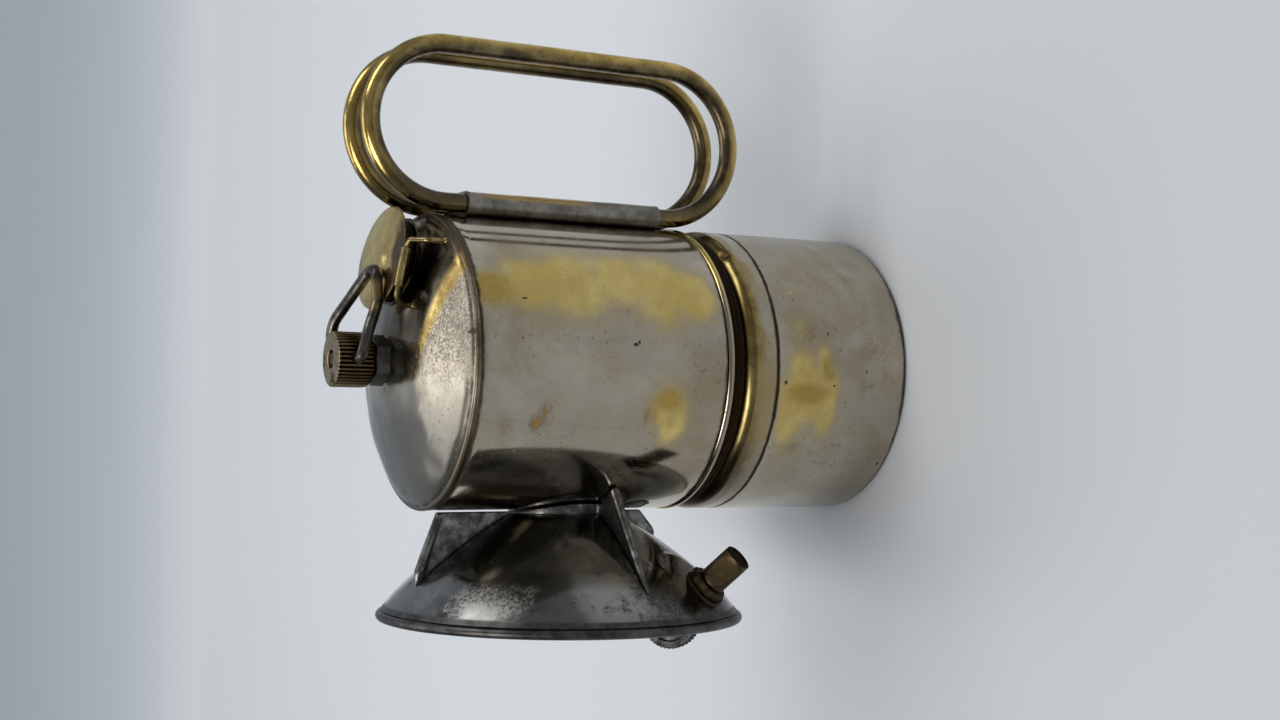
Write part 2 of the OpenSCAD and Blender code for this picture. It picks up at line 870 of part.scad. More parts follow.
module flint_tube() {
    top = cap_z + cap_len - cap_end - seat;
    color("#8a7748")
        at_striker()
            difference() {
                union() {
                    translate([0, 0, sleeve_z])
                        cylinder(r = sleeve_r, h = top - sleeve_z);
                    translate([0, 0, bracket_z - seat - flange_t])
                        intersection() {
                            cylinder(r = flange_r, h = flange_t);
                            translate([-flange_r, fit - cheek_y, 0])
                                cube([2 * flange_r, 2 * (cheek_y - fit), flange_t]);
                        }
                }
                translate([0, 0, sleeve_z - over])
                    cylinder(r = sleeve_bore, h = top - sleeve_z + 2 * over);
            }
}

module clamp_nut() {
    color("#4f463a")
        at_striker()
            translate([0, 0, seat])
                difference() {
                    hex(clamp_flats, clamp_h - seat);
                    translate([0, 0, -over])
                        cylinder(r = sleeve_r + fit, h = clamp_h + 2 * over);
                }
}

module flint_cap() {
    color("#6b5a3a")
        at_striker()
            translate([0, 0, cap_z])
                difference() {
                    knurled(cap_r, cap_len, 36, 0.2);
                    translate([0, 0, -over])
                        cylinder(r = sleeve_r + fit, h = cap_len - cap_end + over);
                }
}

module flint_spring() {
    rings = 10;
    turns = spring_curls * rings;
    pitch = (spring_top - spring_z) / spring_curls;
    path = [
        for (i = [0:turns])
            let (t = 360 * i / rings)
            [spring_r * cos(t), spring_r * sin(t), spring_z + (spring_top - spring_z) * i / turns]
    ];
    echo(spring_gap = pitch - 2 * spring_wire);
    color("#77777a")
        at_striker()
            wire(path, spring_wire, [0, 0, 1], 6);
}

module flint() {
    color("#3c3c3e")
        at_striker()
            translate([0, 0, flint_z])
                cylinder(r = flint_r, h = flint_len);
}

module wheel_bracket() {
    color("#6a6250")
        at_striker()
            difference() {
                union() {
                    translate([-cheek_w, -cheek_y - bracket_t, bracket_z])
                        cube([2 * cheek_w, 2 * (cheek_y + bracket_t), bracket_t]);
                    for (y = [-cheek_y - bracket_t, cheek_y])
                        translate([0, y, 0]) {
                            translate([-cheek_w, 0, -wheel_in])
                                cube([2 * cheek_w, bracket_t, wheel_in + bracket_z + bracket_t]);
                            translate([0, bracket_t, -wheel_in])
                                rotate([90, 0, 0])
                                    cylinder(r = cheek_w, h = bracket_t);
                        }
                }
                translate([0, 0, bracket_z - over])
                    cylinder(r = sleeve_r + fit, h = bracket_t + 2 * over);
                translate([0, cheek_y + 2 * bracket_t, -wheel_in])
                    rotate([90, 0, 0])
                        cylinder(r = axle_r + run, h = 2 * cheek_y + 4 * bracket_t);
            }
}

module striker_axle() {
    half = cheek_y + bracket_t + 0.4;
    color("#8b8778")
        at_striker()
            translate([0, half, -wheel_in])
                rotate([90, 0, 0])
                    cylinder(r = axle_r, h = 2 * half);
}

module striker_wheel() {
    color("#3f3f41")
        at_striker()
            translate([0, wheel_w / 2, -wheel_in])
                rotate([90, 0, 0])
                    difference() {
                        knurled(wheel_r, wheel_w, wheel_teeth, 0.4);
                        translate([0, 0, -over])
                            cylinder(r = axle_r + 0.02, h = wheel_w + 2 * over);
                    }
}

// Sub-parts of the handle

// One closed loop with straight sides and round ends, in the plane y
module handle_loop(y) {
    end_r = loop_w / 2;
    side = loop_h - loop_w;
    color("#8f7b45")
        translate([loop_x, y, loop_up]) {
            for (x = [-end_r, end_r])
                translate([x, 0, -side / 2])
                    cylinder(r = wire_r, h = side);
            for (end = [0, 180])
                rotate([0, end, 0])
                    translate([0, 0, side / 2])
                        rotate([90, 0, 0])
                            rotate_extrude(angle = 180)
                                translate([end_r, 0])
                                    circle(wire_r);
        }
}

module handle_front() {
    handle_loop(-loop_gap / 2);
}

module handle_back() {
    handle_loop(loop_gap / 2);
}

// A flat oval of radius r round the loops' wires, whose middle starts at x
module clip_outline(r, x) {
    for (y = [-loop_gap / 2, loop_gap / 2])
        translate([grip_x, y])
            circle(r);
    translate([x, -loop_gap / 2])
        square([grip_x + r - x, loop_gap]);
}

module handle_clip() {
    color("#7d7357")
        translate([0, 0, loop_up - clip_len / 2 - clip_drop])
            linear_extrude(clip_len)
                difference() {
                    clip_outline(grip_r + clip_t, tank_r - 2);
                    clip_outline(grip_r, tank_r + 2 * clip_t);
                    circle(tank_r + 0.02);
                }
}

base_cup();
base_collar();
base_gasket();
screw_neck();
filter_plate();
felt_filter();
tank_floor();
water_tank();
tank_top();
drip_tube();
gas_tube();
valve_post();
packing_ring();
gland_nut();
valve_stem();
valve_knob();
lever_wire();
filler_neck();
hinge_wire();
lid_gasket();
water_lid();
burner_socket();
burner_base();
burner_tip();
reflector();
reflector_brace();
reflector_nut();
flint_tube();
clamp_nut();
flint_cap();
flint_spring();
flint();
wheel_bracket();
striker_axle();
striker_wheel();
handle_front();
handle_back();
handle_clip();
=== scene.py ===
"""Looks of the carbide miners lamp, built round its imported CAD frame. Sizes are in millimetres."""
import math

import bmesh
import bpy
import numpy as np
from mathutils import Matrix, Vector, noise


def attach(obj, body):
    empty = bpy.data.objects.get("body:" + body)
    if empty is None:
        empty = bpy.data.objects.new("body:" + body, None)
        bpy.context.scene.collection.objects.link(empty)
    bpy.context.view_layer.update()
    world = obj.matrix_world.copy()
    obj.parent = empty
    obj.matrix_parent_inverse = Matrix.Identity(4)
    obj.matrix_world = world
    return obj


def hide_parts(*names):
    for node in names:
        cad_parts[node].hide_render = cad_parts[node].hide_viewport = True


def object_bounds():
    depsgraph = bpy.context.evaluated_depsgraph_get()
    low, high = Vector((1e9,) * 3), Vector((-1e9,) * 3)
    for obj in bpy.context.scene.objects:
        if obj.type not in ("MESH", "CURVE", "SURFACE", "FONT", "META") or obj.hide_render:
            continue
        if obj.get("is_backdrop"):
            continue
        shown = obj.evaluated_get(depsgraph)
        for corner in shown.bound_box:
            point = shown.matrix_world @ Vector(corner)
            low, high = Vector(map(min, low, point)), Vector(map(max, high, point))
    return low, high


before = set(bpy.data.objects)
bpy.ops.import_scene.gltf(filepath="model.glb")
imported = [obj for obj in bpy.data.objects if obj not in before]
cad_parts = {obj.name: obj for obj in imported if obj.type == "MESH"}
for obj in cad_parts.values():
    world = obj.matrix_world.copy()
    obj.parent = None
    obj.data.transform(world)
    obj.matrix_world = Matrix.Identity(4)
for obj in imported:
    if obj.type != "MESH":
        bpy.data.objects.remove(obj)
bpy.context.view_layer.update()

MM = 0.001
TINY = 1e-6

# Sizes that the pieces share with the CAD source
TANK_R = 34.0
TANK_T = 0.7
RIM_R = 34.3
FLOOR_Z = 48.3
FLOOR_T = 0.8
TANK_Z = 50.3
WALL_Z = 111.1
DOME_RISE = 9.5
SHOULDER = 2.0
BASE_R = 34.2
BASE_H = 36.8
BASE_T = 0.8
COLLAR_Z = 44.8
COLLAR_ROLL = 3.0
GASKET_Z = 44.85
GASKET_R = 33.2
GASKET_H = 3.4
GASKET_ROUND = 1.25
THREAD_R = 28.1
THREAD_LEAD = 3.2
THREAD_DEEP = 0.55
LEDGE_Z = 44.05
SKIRT_R = 28.2
FELT_Z = FLOOR_Z - 0.05
FELT_T = 3.0
NUT_Z = 124.4
PACKING_Z = NUT_Z - 1.9
GLAND_R = 3.8
KNOB_Z = 124.6
KNOB_R = 6.25
KNOB_TOP = 133.2
KNURLS = 40
PIVOT_Z = 129.0
STEM_R = 1.5
STEM_BORE = STEM_R + 0.06
STEM_FIT = STEM_R + 0.02
STEM_LOW = 50.3
LEVER_R = 1.3
NECK_X = 22.6
NECK_R = 9.8
MOUTH_Z = 118.3
LID_SLANT = math.radians(11)
LID_LEAN = math.radians(4.2)
LID_R = 12.0
LID_Z = 3.3
LID_T = 0.6
LID_CROWN = 0.9
HINGE_Y = -12.7
KNUCKLE_R = 1.05
KNUCKLE_BORE = 0.7
KNUCKLE_LEN = 8.6
KNUCKLE_X = -3.0
HINGE_WIRE_R = 0.62
RIM_X = 59.5
BEAM_Z = 76.0
BOWL_R = 43.2
BOWL_CURVE = 28.3
BOWL_DEPTH = 24.0
BOWL_T = 0.6
BOWL_ROLL = 1.1
FIN_T = 1.3
FIN_TOP = 31.6
FIN_LOW = 21.0
FIN_SIDE = 19.5
FIN_DROP = 4.5
TOP_IN = 7.0
SIDE_IN = 6.6
HUB_R = 12.5
HUB_BORE = 5.3
TANK_GAP = 0.4
BOWL_GAP = 0.12
SOCKET_X = 30
SOCKET_OUT = RIM_X - BOWL_DEPTH + 6
SPARK_R = 36.8
SPARK_TURN = math.radians(52)
SLEEVE_R = 2.35
SLEEVE_BORE = 1.35
CLAMP_H = 2.4
CAP_Z = 2.6
CAP_END = 11.4
CAP_R = 3.3
CAP_KNURLS = 44
CHEEK_Y = 2.5
CHEEK_T = 0.8
CHEEK_W = 3.0
WHEEL_IN = 10.8
WHEEL_R = 6.9
TEETH = 44
WIRE_R = 2.2
LOOP_X = 54.35
LOOP_Z = 80.8
LOOP_W = 36.2
LOOP_H = 92.8
LOOP_Y = 6.2
GRIP_X = 36.25
GRIP_R = WIRE_R + 0.05
CLIP_T = 0.5
CLIP_LOW = LOOP_Z - 26.0
CLIP_HIGH = LOOP_Z + 23.6

# The bowl is straighter than the CAD's curve, which it keeps in a boss round the flint tube
CONE_DEPTH = 31.26
CONE_SLOPE = 0.645
CONE_BLEND = 3.0
CONE_SHARE = 0.55
BOSS_IN = 6.5
BOSS_OUT = 13.0

DOME_Z = WALL_Z + DOME_RISE
SHOULDER_C = TANK_R - SHOULDER
CROWN_R = (SHOULDER_C**2 + DOME_RISE**2 - SHOULDER**2) / (2 * (DOME_RISE - SHOULDER))
CROWN_A = math.degrees(math.asin(SHOULDER_C / (CROWN_R - SHOULDER)))
LAMP_AXIS = (0, 0, 0), (0, 0, 1)


# Mesh tools


def clamp(value):
    return max(0, min(1, value))


def turns(n):
    """Angles of n equal steps round a circle."""
    return [math.tau * k / n for k in range(n)]


def arc(cx, cy, r, a, b, n=8):
    """Points on an arc from angle a to b, in degrees."""
    angles = [math.radians(a + (b - a) * i / n) for i in range(n + 1)]
    return [(cx + r * math.cos(t), cy + r * math.sin(t)) for t in angles]


def steps(a, b, n):
    """Points on a line from a to b, with n spaces between them."""
    return [(a[0] + (b[0] - a[0]) * i / n, a[1] + (b[1] - a[1]) * i / n) for i in range(n + 1)]


def off(r, z, *moves):
    """Profile points given by their moves from one radius and height."""
    return [(r + a, z + b) for a, b in moves]


def mirrored(profile):
    """A profile's points again, turned over in height and order."""
    return [(r, -z) for r, z in profile[::-1]]


def lathe(profile, segs=160, closed=True, wave=None):
    """A turned shape from (radius, height) points; wave(angle, radius, height) gives another radius."""
    verts, faces, rings = [], [], []
    for r, z in profile:
        first = len(verts)
        if r < TINY:
            verts.append((0.0, 0.0, z))
            rings.append([first] * segs)
            continue
        for t in turns(segs):
            q = wave(t, r, z) if wave else r
            verts.append((q * math.cos(t), q * math.sin(t), z))
        rings.append(list(range(first, first + segs)))
    pairs = list(zip(rings, rings[1:]))
    if closed:
        pairs.append((rings[-1], rings[0]))
    for a, b in pairs:
        for k in range(segs):
            j = (k + 1) % segs
            face = tuple(dict.fromkeys((a[k], a[j], b[j], b[k])))
            if len(face) > 2:
                faces.append(face)
    return verts, faces


def sweep(path, r, sides=20, closed=False):
    """A round wire along a path; r is a radius or a list of one radius for each point."""
    pts = [Vector(p) for p in path]
    n = len(pts)
    radii = r if isinstance(r, list) else [r] * n
    ways = []
    for i in range(n):
        a = pts[i - 1] if closed or i else pts[0]
        b = pts[(i + 1) % n] if closed or i < n - 1 else pts[-1]
        ways.append((b - a).normalized())
    side = ways[0].orthogonal().normalized()
    verts, faces = [], []
    for i in range(n):
        side = (side - ways[i] * side.dot(ways[i])).normalized()
        other = ways[i].cross(side)
        for t in turns(sides):
            verts.append(tuple(pts[i] + radii[i] * (math.cos(t) * side + math.sin(t) * other)))
    for i in range(n if closed else n - 1):
        a, b = i * sides, ((i + 1) % n) * sides
        shift = 0
        if closed and i == n - 1:
            gaps = [(Vector(verts[a]) - Vector(verts[b + k])).length for k in range(sides)]
            shift = gaps.index(min(gaps))
        for k in range(sides):
            j = (k + 1) % sides
            faces.append((a + k, a + j, b + (j + shift) % sides, b + (k + shift) % sides))
    if not closed:
        faces.append(tuple(range(sides))[::-1])
        faces.append(tuple(range((n - 1) * sides, n * sides)))
    return verts, faces


def bend(corners, radii, n=10):
    """A bent wire's centre line, with each inner corner rounded by its radius."""
    p = [Vector(c) for c in corners]
    out = [p[0]]
    for i, r in zip(range(1, len(p) - 1), radii):
        a = (p[i - 1] - p[i]).normalized()
        b = (p[i + 1] - p[i]).normalized()
        half = a.angle(b) / 2
        centre = p[i] + (a + b).normalized() * r / math.sin(half)
        e = p[i] + a * r / math.tan(half) - centre
        f = p[i] + b * r / math.tan(half) - centre
        w = math.pi - 2 * half
        for k in range(n + 1):
            t = k / n
            out.append(centre + (math.sin((1 - t) * w) * e + math.sin(t * w) * f) / math.sin(w))
    out.append(p[-1])
    return out


def fine(path, gap):
    """The same path with points no further apart than gap."""
    out = [Vector(path[0])]
    for p in path[1:]:
        p = Vector(p)
        n = max(1, math.ceil((p - out[-1]).length / gap))
        start = out[-1].copy()
        out += [start.lerp(p, (k + 1) / n) for k in range(n)]
    return out


def stack(rings, closed=True):
    """A tube of rings that each have the same number of points."""
    n = len(rings[0])
    verts = [p for ring in rings for p in ring]
    faces = []
    for i in range(len(rings) if closed else len(rings) - 1):
        a, b = i * n, ((i + 1) % len(rings)) * n
        faces += [(a + k, a + (k + 1) % n, b + (k + 1) % n, b + k) for k in range(n)]
    return verts, faces


def prism(outline, z0, z1, edge=0.3):
    """An upright prism over an outline, with both ends eased by edge."""
    n = len(outline)
    middle = Vector((sum(p[0] for p in outline) / n, sum(p[1] for p in outline) / n))
    low = [(z0, edge), (z0 + edge * 0.3, edge * 0.3), (z0 + edge, 0)]
    high = [(z1 - edge, 0), (z1 - edge * 0.3, edge * 0.3), (z1, edge)]
    rings = []
    for z, inset in low + high:
        arms = [Vector(p) - middle for p in outline]
        ends = [middle + v * (1 - inset / v.length) for v in arms]
        rings.append([(q.x, q.y, z) for q in ends])
    verts, faces = stack(rings, False)
    faces.append(tuple(range(n))[::-1])
    faces.append(tuple(range(len(verts) - n, len(verts))))
    return verts, faces


def extrude(outline, z0, z1):
    """A prism over an outline given in order, with square ends of faces across it."""
    n = len(outline)
    verts, faces = stack([[(x, y, z) for x, y in outline] for z in (z0, z1)], False)
    for base in (0, n):
        for k in range(n // 2 - 1):
            faces.append((base + k, base + k + 1, base + n - 2 - k, base + n - 1 - k))
    return verts, faces


def plate(outline, thick, place):
    """A flat plate over an outline, taken to its place; melt() rounds its edges."""
    n = len(outline)
    verts, faces = stack([[place(x, y, t) for x, y in outline] for t in (-thick / 2, thick / 2)], False)
    return verts, [tuple(range(n)), tuple(range(n, 2 * n))[::-1]] + faces


def hex_nut(flats, z0, z1, bore, chamfer=0.5, pocket=None, segs=96):
    """A hexagonal nut, its corners turned off at both ends; pocket is a wider bore's (radius, top)."""
    inside = [(bore, z1), (bore, z0)]
    if pocket:
        inside = [(bore, z1), (bore, pocket[1]), (pocket[0], pocket[1]), (pocket[0], z0)]
    widest = max(r for r, _ in inside)

    def radius(t, r, z):
        if r <= widest + TINY:
            return r
        side = flats / 2 / math.cos(t % (math.pi / 3) - math.pi / 6)
        return min(side, r)

    corner = flats / math.sqrt(3)
    face = flats / 2 * 0.97
    drop = (corner - face) * chamfer
    outer = [(face, z0), (corner, z0 + drop), (corner, z1 - drop), (face, z1)]
    return lathe(outer + inside, segs, True, radius)


def knurls(count, inner, deep, low, high, groove):
    """A lathe's wave of straight knurls beyond a radius; low and high are each end's height and run-out."""

    def wave(t, r, z):
        if r < inner:
            return r
        tooth = abs(((t * count / math.tau) % 1) - 0.5) * 2
        ends = clamp(min((z - low[0]) / low[1], (high[0] - z) / high[1]))
        return r - deep * ends * clamp((tooth - groove[0]) / groove[1])

    return wave


def moved(shape, place):
    """A (verts, faces) shape taken through the function place."""
    verts, faces = shape
    return [tuple(place(Vector(v))) for v in verts], faces


def shifted(x, y, z):
    return lambda p: p + Vector((x, y, z))


def on_mouth(p):
    """From the lid's frame, on the neck's mouth, to the lamp's."""
    turn = Matrix.Rotation(LID_SLANT, 3, "Y") @ Matrix.Rotation(LID_LEAN, 3, "X")
    return Vector((NECK_X, 0, MOUTH_Z)) + turn @ Vector(p)


def on_hinge(p):
    """From the knuckle's frame, with z along the hinge, to the lamp's."""
    return on_mouth((KNUCKLE_X + p[2], HINGE_Y + p[0], LID_Z + 0.3 + p[1]))


def along_beam(x):
    """From a frame with +z forward along the beam and +x up, which starts at x, to the lamp's."""
    return lambda p: Vector((-x - p[2], p[1], BEAM_Z + p[0]))


on_beam = along_beam(RIM_X)


def bowl_curve(r):
    """Depth behind the rim of the curve that the bowl follows at its rim and round the flint tube."""
    return BOWL_CURVE * (1 - (r / BOWL_R) ** 2)


def bowl(r):
    """Depth of the bowl's inner face behind its rim: curved at the rim, straighter towards the middle."""
    curve, cone = bowl_curve(r), CONE_DEPTH - CONE_SLOPE * r
    near = max(CONE_BLEND - abs(curve - cone), 0) / CONE_BLEND
    straight = min(curve, cone) - near**3 * CONE_BLEND / 6
    return min(BOWL_DEPTH, curve + CONE_SHARE * (straight - curve))


def on_striker(p):
    """From the striker's frame, +z out along the flint tube, to the lamp's."""
    slope = 2 * BOWL_CURVE * SPARK_R / BOWL_R**2
    tilt = math.pi / 2 + math.atan(1 / slope)
    q = Matrix.Rotation(tilt, 3, "Y") @ Vector(p)
    q += Vector((SPARK_R, 0, -bowl_curve(SPARK_R) - BOWL_T))
    return on_beam(Matrix.Rotation(math.pi + SPARK_TURN, 3, "Z") @ q)


def on_cheek(y):
    """From a cheek's plane to the lamp's frame, the cheek starting at y."""
    return lambda p: on_striker((p[0], y + p[2], p[1]))


def on_axle(p):
    """From the wheel's frame, with z along the axle, to the lamp's."""
    return on_striker((p[0], p[2], -WHEEL_IN + p[1]))


def dome_height(r):
    """Height of the dome's outer face at distance r from the axis."""
    if r < CROWN_R * math.sin(math.radians(CROWN_A)):
        return DOME_Z - CROWN_R + math.sqrt(CROWN_R**2 - r * r)
    return WALL_Z + math.sqrt(max(0, SHOULDER**2 - (r - SHOULDER_C) ** 2))


def ripple(amount, size, seed):
    """A warp that pushes points in and out from the lamp's axis by smooth noise."""

    def warp(p):
        d = Vector((p.x, p.y, 0))
        if d.length < TINY:
            return p
        k = noise.noise(p / size + Vector((seed, 3 * seed, -seed)))
        return p + d.normalized() * amount * k * min(1, d.length / 6)

    return warp


def mesh(name, verts, faces):
    """A mesh in metres from points in millimetres, with its normals made consistent."""
    data = bpy.data.meshes.new(name)
    data.from_pydata([Vector(p) * MM for p in verts], [], faces)
    tool = bmesh.new()
    tool.from_mesh(data)
    bmesh.ops.remove_doubles(tool, verts=tool.verts, dist=1e-7)
    bmesh.ops.recalc_face_normals(tool, faces=tool.faces)
    tool.to_mesh(data)
    tool.free()
    return data


def linked(name, data):
    """An object of the scene with the given data."""
    obj = bpy.data.objects.new(name, data)
    bpy.context.scene.collection.objects.link(obj)
    return obj


def applied(obj):
    """Turns what a piece's modifiers make into its mesh."""
    bpy.context.view_layer.update()
    ready = obj.evaluated_get(bpy.context.evaluated_depsgraph_get())
    new = bpy.data.meshes.new_from_object(ready)
    obj.modifiers.clear()
    obj.data = new


def cut(obj, shape):
    """Takes a shape out of a piece for good."""
    cutter = linked("cutter", mesh("cutter", *shape))
    made = obj.modifiers.new("cut", "BOOLEAN")
    made.object = cutter
    made.solver = "EXACT"
    applied(obj)
    bpy.data.objects.remove(cutter)


def melt(obj, voxel, passes):
    """Fuses a piece's shapes into one skin with soft corners, for good."""
    made = obj.modifiers.new("melt", "REMESH")
    made.mode = "VOXEL"
    made.voxel_size = voxel * MM
    made.use_smooth_shade = True
    soft = obj.modifiers.new("soft", "SMOOTH")
    soft.factor = 0.5
    soft.iterations = passes
    applied(obj)
    obj.data.shade_smooth()


def piece(name, shapes, body, nodes, material, warp=None, sharp=38):
    """One piece of the lamp from shapes in millimetres: it rides on body and stands for CAD nodes."""
    verts, faces = [], []
    for v, f in shapes:
        first = len(verts)
        verts += [Vector(p) for p in v]
        faces += [tuple(i + first for i in face) for face in f]
    if warp:
        verts = [warp(p) for p in verts]
    data = mesh(name, verts, faces)
    data.shade_smooth()
    data.set_sharp_from_angle(angle=math.radians(sharp))
    data.materials.append(material)
    obj = linked(name, data)
    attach(obj, body)
    if nodes:
        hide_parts(*nodes)
    return obj


def turned(name, profile, segs, body, node, material, warp=None, sharp=38, closed=True, wave=None,
           place=None):
    """A piece that is one turned shape, taken to its place."""
    shape = lathe(profile, segs, closed, wave)
    return piece(name, [moved(shape, place) if place else shape], body, [node], material, warp, sharp)


# Materials

SPOT_PEAK = 1.5
SPOT_BLEND = 0.35


class Shader:
    """A procedural material under construction, laid on in coats of colour and roughness."""

    def __init__(self, name, metallic=1.0):
        self.material = bpy.data.materials.new(name)
        self.material.use_nodes = True
        self.tree = self.material.node_tree
        self.bsdf = self.tree.nodes["Principled BSDF"]
        self.bsdf.inputs["Metallic"].default_value = metallic
        self.place = self.node("ShaderNodeTexCoord").outputs["Object"]
        parts = self.node("ShaderNodeSeparateXYZ", {0: self.place})
        self.axes = [self.times(out, 1 / MM) for out in parts.outputs]
        self.colour = None
        self.rough = None

    def node(self, kind, inputs=None, **settings):
        made = self.tree.nodes.new(kind)
        for key, value in settings.items():
            setattr(made, key, value)
        for key, value in (inputs or {}).items():
            self.put(made.inputs[key], value)
        return made

    def put(self, socket, value):
        if isinstance(value, bpy.types.NodeSocket):
            self.tree.links.new(value, socket)
        elif isinstance(value, tuple) and socket.type == "RGBA" and len(value) == 3:
            socket.default_value = (*value, 1)
        else:
            socket.default_value = value

    def math(self, op, a, b=0.0, c=0.0):
        return self.node("ShaderNodeMath", {0: a, 1: b, 2: c}, operation=op).outputs[0]

    def fold(self, op, values):
        total = values[0]
        for value in values[1:]:
            total = self.math(op, total, value)
        return total

    def add(self, *values):
        return self.fold("ADD", values)

    def times(self, *values):
        return self.fold("MULTIPLY", values)

    def most(self, *values):
        return self.fold("MAXIMUM", values)

    def less(self, a, b):
        return self.math("SUBTRACT", a, b)

    def over(self, a, b):
        return self.math("DIVIDE", a, b)

    def size(self, a):
        return self.math("ABSOLUTE", a)

    def hypot(self, a, b):
        return self.math("SQRT", self.add(self.times(a, a), self.times(b, b)))

    def noise(self, scale, detail=3.0, rough=0.55, at=None, warp=0.0):
        inputs = {"Vector": at or self.place, "Scale": scale, "Detail": detail, "Roughness": rough,
                  "Distortion": warp}
        return self.node("ShaderNodeTexNoise", inputs).outputs["Fac"]

    def span(self, value, low, high, out_low=0.0, out_high=1.0):
        inputs = {"Value": value, "From Min": low, "From Max": high, "To Min": out_low, "To Max": out_high}
        return self.node("ShaderNodeMapRange", inputs, interpolation_type="SMOOTHSTEP").outputs["Result"]

    def fleck(self, grain, *limits):
        """Noise of a grain, the arguments of noise(), taken through the limits of span()."""
        return self.span(self.noise(*grain), *limits)

    def wobble(self, reach, *grain):
        """Noise about zero, with reach as its whole width."""
        return self.times(self.less(self.noise(*grain), 0.5), reach)

    def stretch(self, x, y, z):
        return self.node("ShaderNodeMapping", {"Vector": self.place, "Scale": (x, y, z)}).outputs["Vector"]

    def mix(self, share, a, b):
        return self.node("ShaderNodeMix", {0: share, 6: a, 7: b}, data_type="RGBA").outputs[2]

    def blend(self, share, a, b):
        return self.node("ShaderNodeMix", {0: share, 2: a, 3: b}, data_type="FLOAT").outputs[0]

    def ground(self, share, low, high, rough_low, rough_high):
        """What the coats go on: one tone and roughness where share is low, another where it is high."""
        self.colour = self.mix(share, low, high)
        self.rough = self.blend(share, rough_low, rough_high)

    def coat(self, share, tone, strength=1, rough=None):
        """Lays a tone, and a roughness if one is given, over what is there."""
        self.colour = self.mix(share if strength == 1 else self.times(share, strength), self.colour, tone)
        if rough is not None:
            self.grind(share, rough)

    def grind(self, share, rough):
        self.rough = self.blend(share, self.rough, rough)

    def off_axis(self, point, way):
        """Distance in millimetres from the line through point along way."""
        kind = "ShaderNodeVectorMath"
        away = self.node(kind, {0: self.place, 1: tuple(Vector(point) * MM)}, operation="SUBTRACT").outputs[0]
        along = tuple(Vector(way).normalized())
        cross = self.node(kind, {0: away, 1: along}, operation="CROSS_PRODUCT").outputs[0]
        return self.times(self.node(kind, {0: cross}, operation="LENGTH").outputs["Value"], 1 / MM)

    def patches(self, spots, fray=0.5, gritty=0.45):
        """A field, high on frayed patches that are each (arc, height, half width, half height, peak).

        The arc runs round the tank, from 0 at the front towards the handle."""
        x, y, height = self.axes
        around = self.times(self.math("ARCTAN2", x, self.times(y, -1.0)), TANK_R)
        torn = self.add(self.wobble(2 * fray, 105, 5, 0.6), self.wobble(2 * gritty, 1500, 4, 0.75))
        best = 0.0
        for u, z, w, h, *peak in spots:
            away = self.hypot(self.over(self.less(around, u), w), self.over(self.less(height, z), h))
            top = peak[0] if peak else SPOT_PEAK
            best = self.math("SMOOTH_MAX", best, self.less(top, away), SPOT_BLEND)
        return self.add(best, torn)

    def finish(self, relief=None, strength=0.0, distance=0.0):
        self.put(self.bsdf.inputs["Base Color"], self.colour)
        self.put(self.bsdf.inputs["Roughness"], self.rough)
        if relief is not None:
            inputs = {"Height": relief, "Strength": strength, "Distance": distance * MM}
            self.put(self.bsdf.inputs["Normal"], self.node("ShaderNodeBump", inputs).outputs["Normal"])
        return self.material


NICKEL = (0.48, 0.435, 0.355)
NICKEL_DULL = (0.375, 0.335, 0.265)
NICKEL_MATT = (0.60, 0.53, 0.425)
TARNISH = (0.295, 0.24, 0.16)
BRASS = (0.58, 0.43, 0.135)
BRASS_PALE = (0.685, 0.55, 0.212)
BRASS_DULL = (0.30, 0.225, 0.095)
OCHRE = (0.38, 0.26, 0.06)
OLIVE = (0.40, 0.315, 0.15)
RUST = (0.44, 0.255, 0.035)
RUST_HAZE = (0.20, 0.145, 0.075)
SMEAR = (0.17, 0.135, 0.09)
STAIN = (0.075, 0.054, 0.034)
DUST = (0.058, 0.036, 0.015)
GRIME = (0.06, 0.043, 0.025)
PIT = (0.035, 0.027, 0.018)

# Worn places on the plate, as Shader.patches() takes them
TANK_SPOTS = [
    (16, 108, 4.4, 7), (18, 98, 7.4, 8), (18.5, 88, 9.2, 11), (19.5, 76, 6.6, 9), (17.5, 66, 9.2, 9),
    (16.5, 57.5, 7, 6), (-10.5, 65.5, 5.6, 5), (-14.5, 63.5, 5, 4), (94, 93, 4, 14), (98, 84, 6, 5, 1.3),
    (90, 103, 4, 4), (66, 60, 8, 3), (73, 64.5, 4, 5, 1.3), (60, 65, 3, 2, 1.1), (-73, 103, 3.5, 6),
    (-78.5, 97, 5, 3, 1.3), (-84, 104, 2, 4, 1.0),
]
TANK_OCHRE = [(16, 109, 6, 6), (-8, 66, 3, 5), (-12, 69, 4, 1.8), (-14, 64, 6, 4, 0.6), (93, 100, 6, 6)]
TANK_SPECKS = [
    (-14.4, 96.8, 2.8, 2.2, 1.25), (-12, 95.4, 5, 2.6, 0.9), (-12.5, 70.2, 4.6, 1.8, 0.9),
    (-15, 104, 13, 6, 0.55),
]
TANK_NICKS = [
    (4, 74.1, 0.7, 0.9), (4.6, 73.2, 0.6, 0.5), (5.2, 88.5, 0.3, 0.9, 1.2), (13.6, 100.3, 0.3, 1.1),
    (60, 84, 0.8, 0.6), (-52, 76, 0.6, 0.9), (100, 70, 0.9, 0.6), (86, 101, 0.5, 0.5),
]
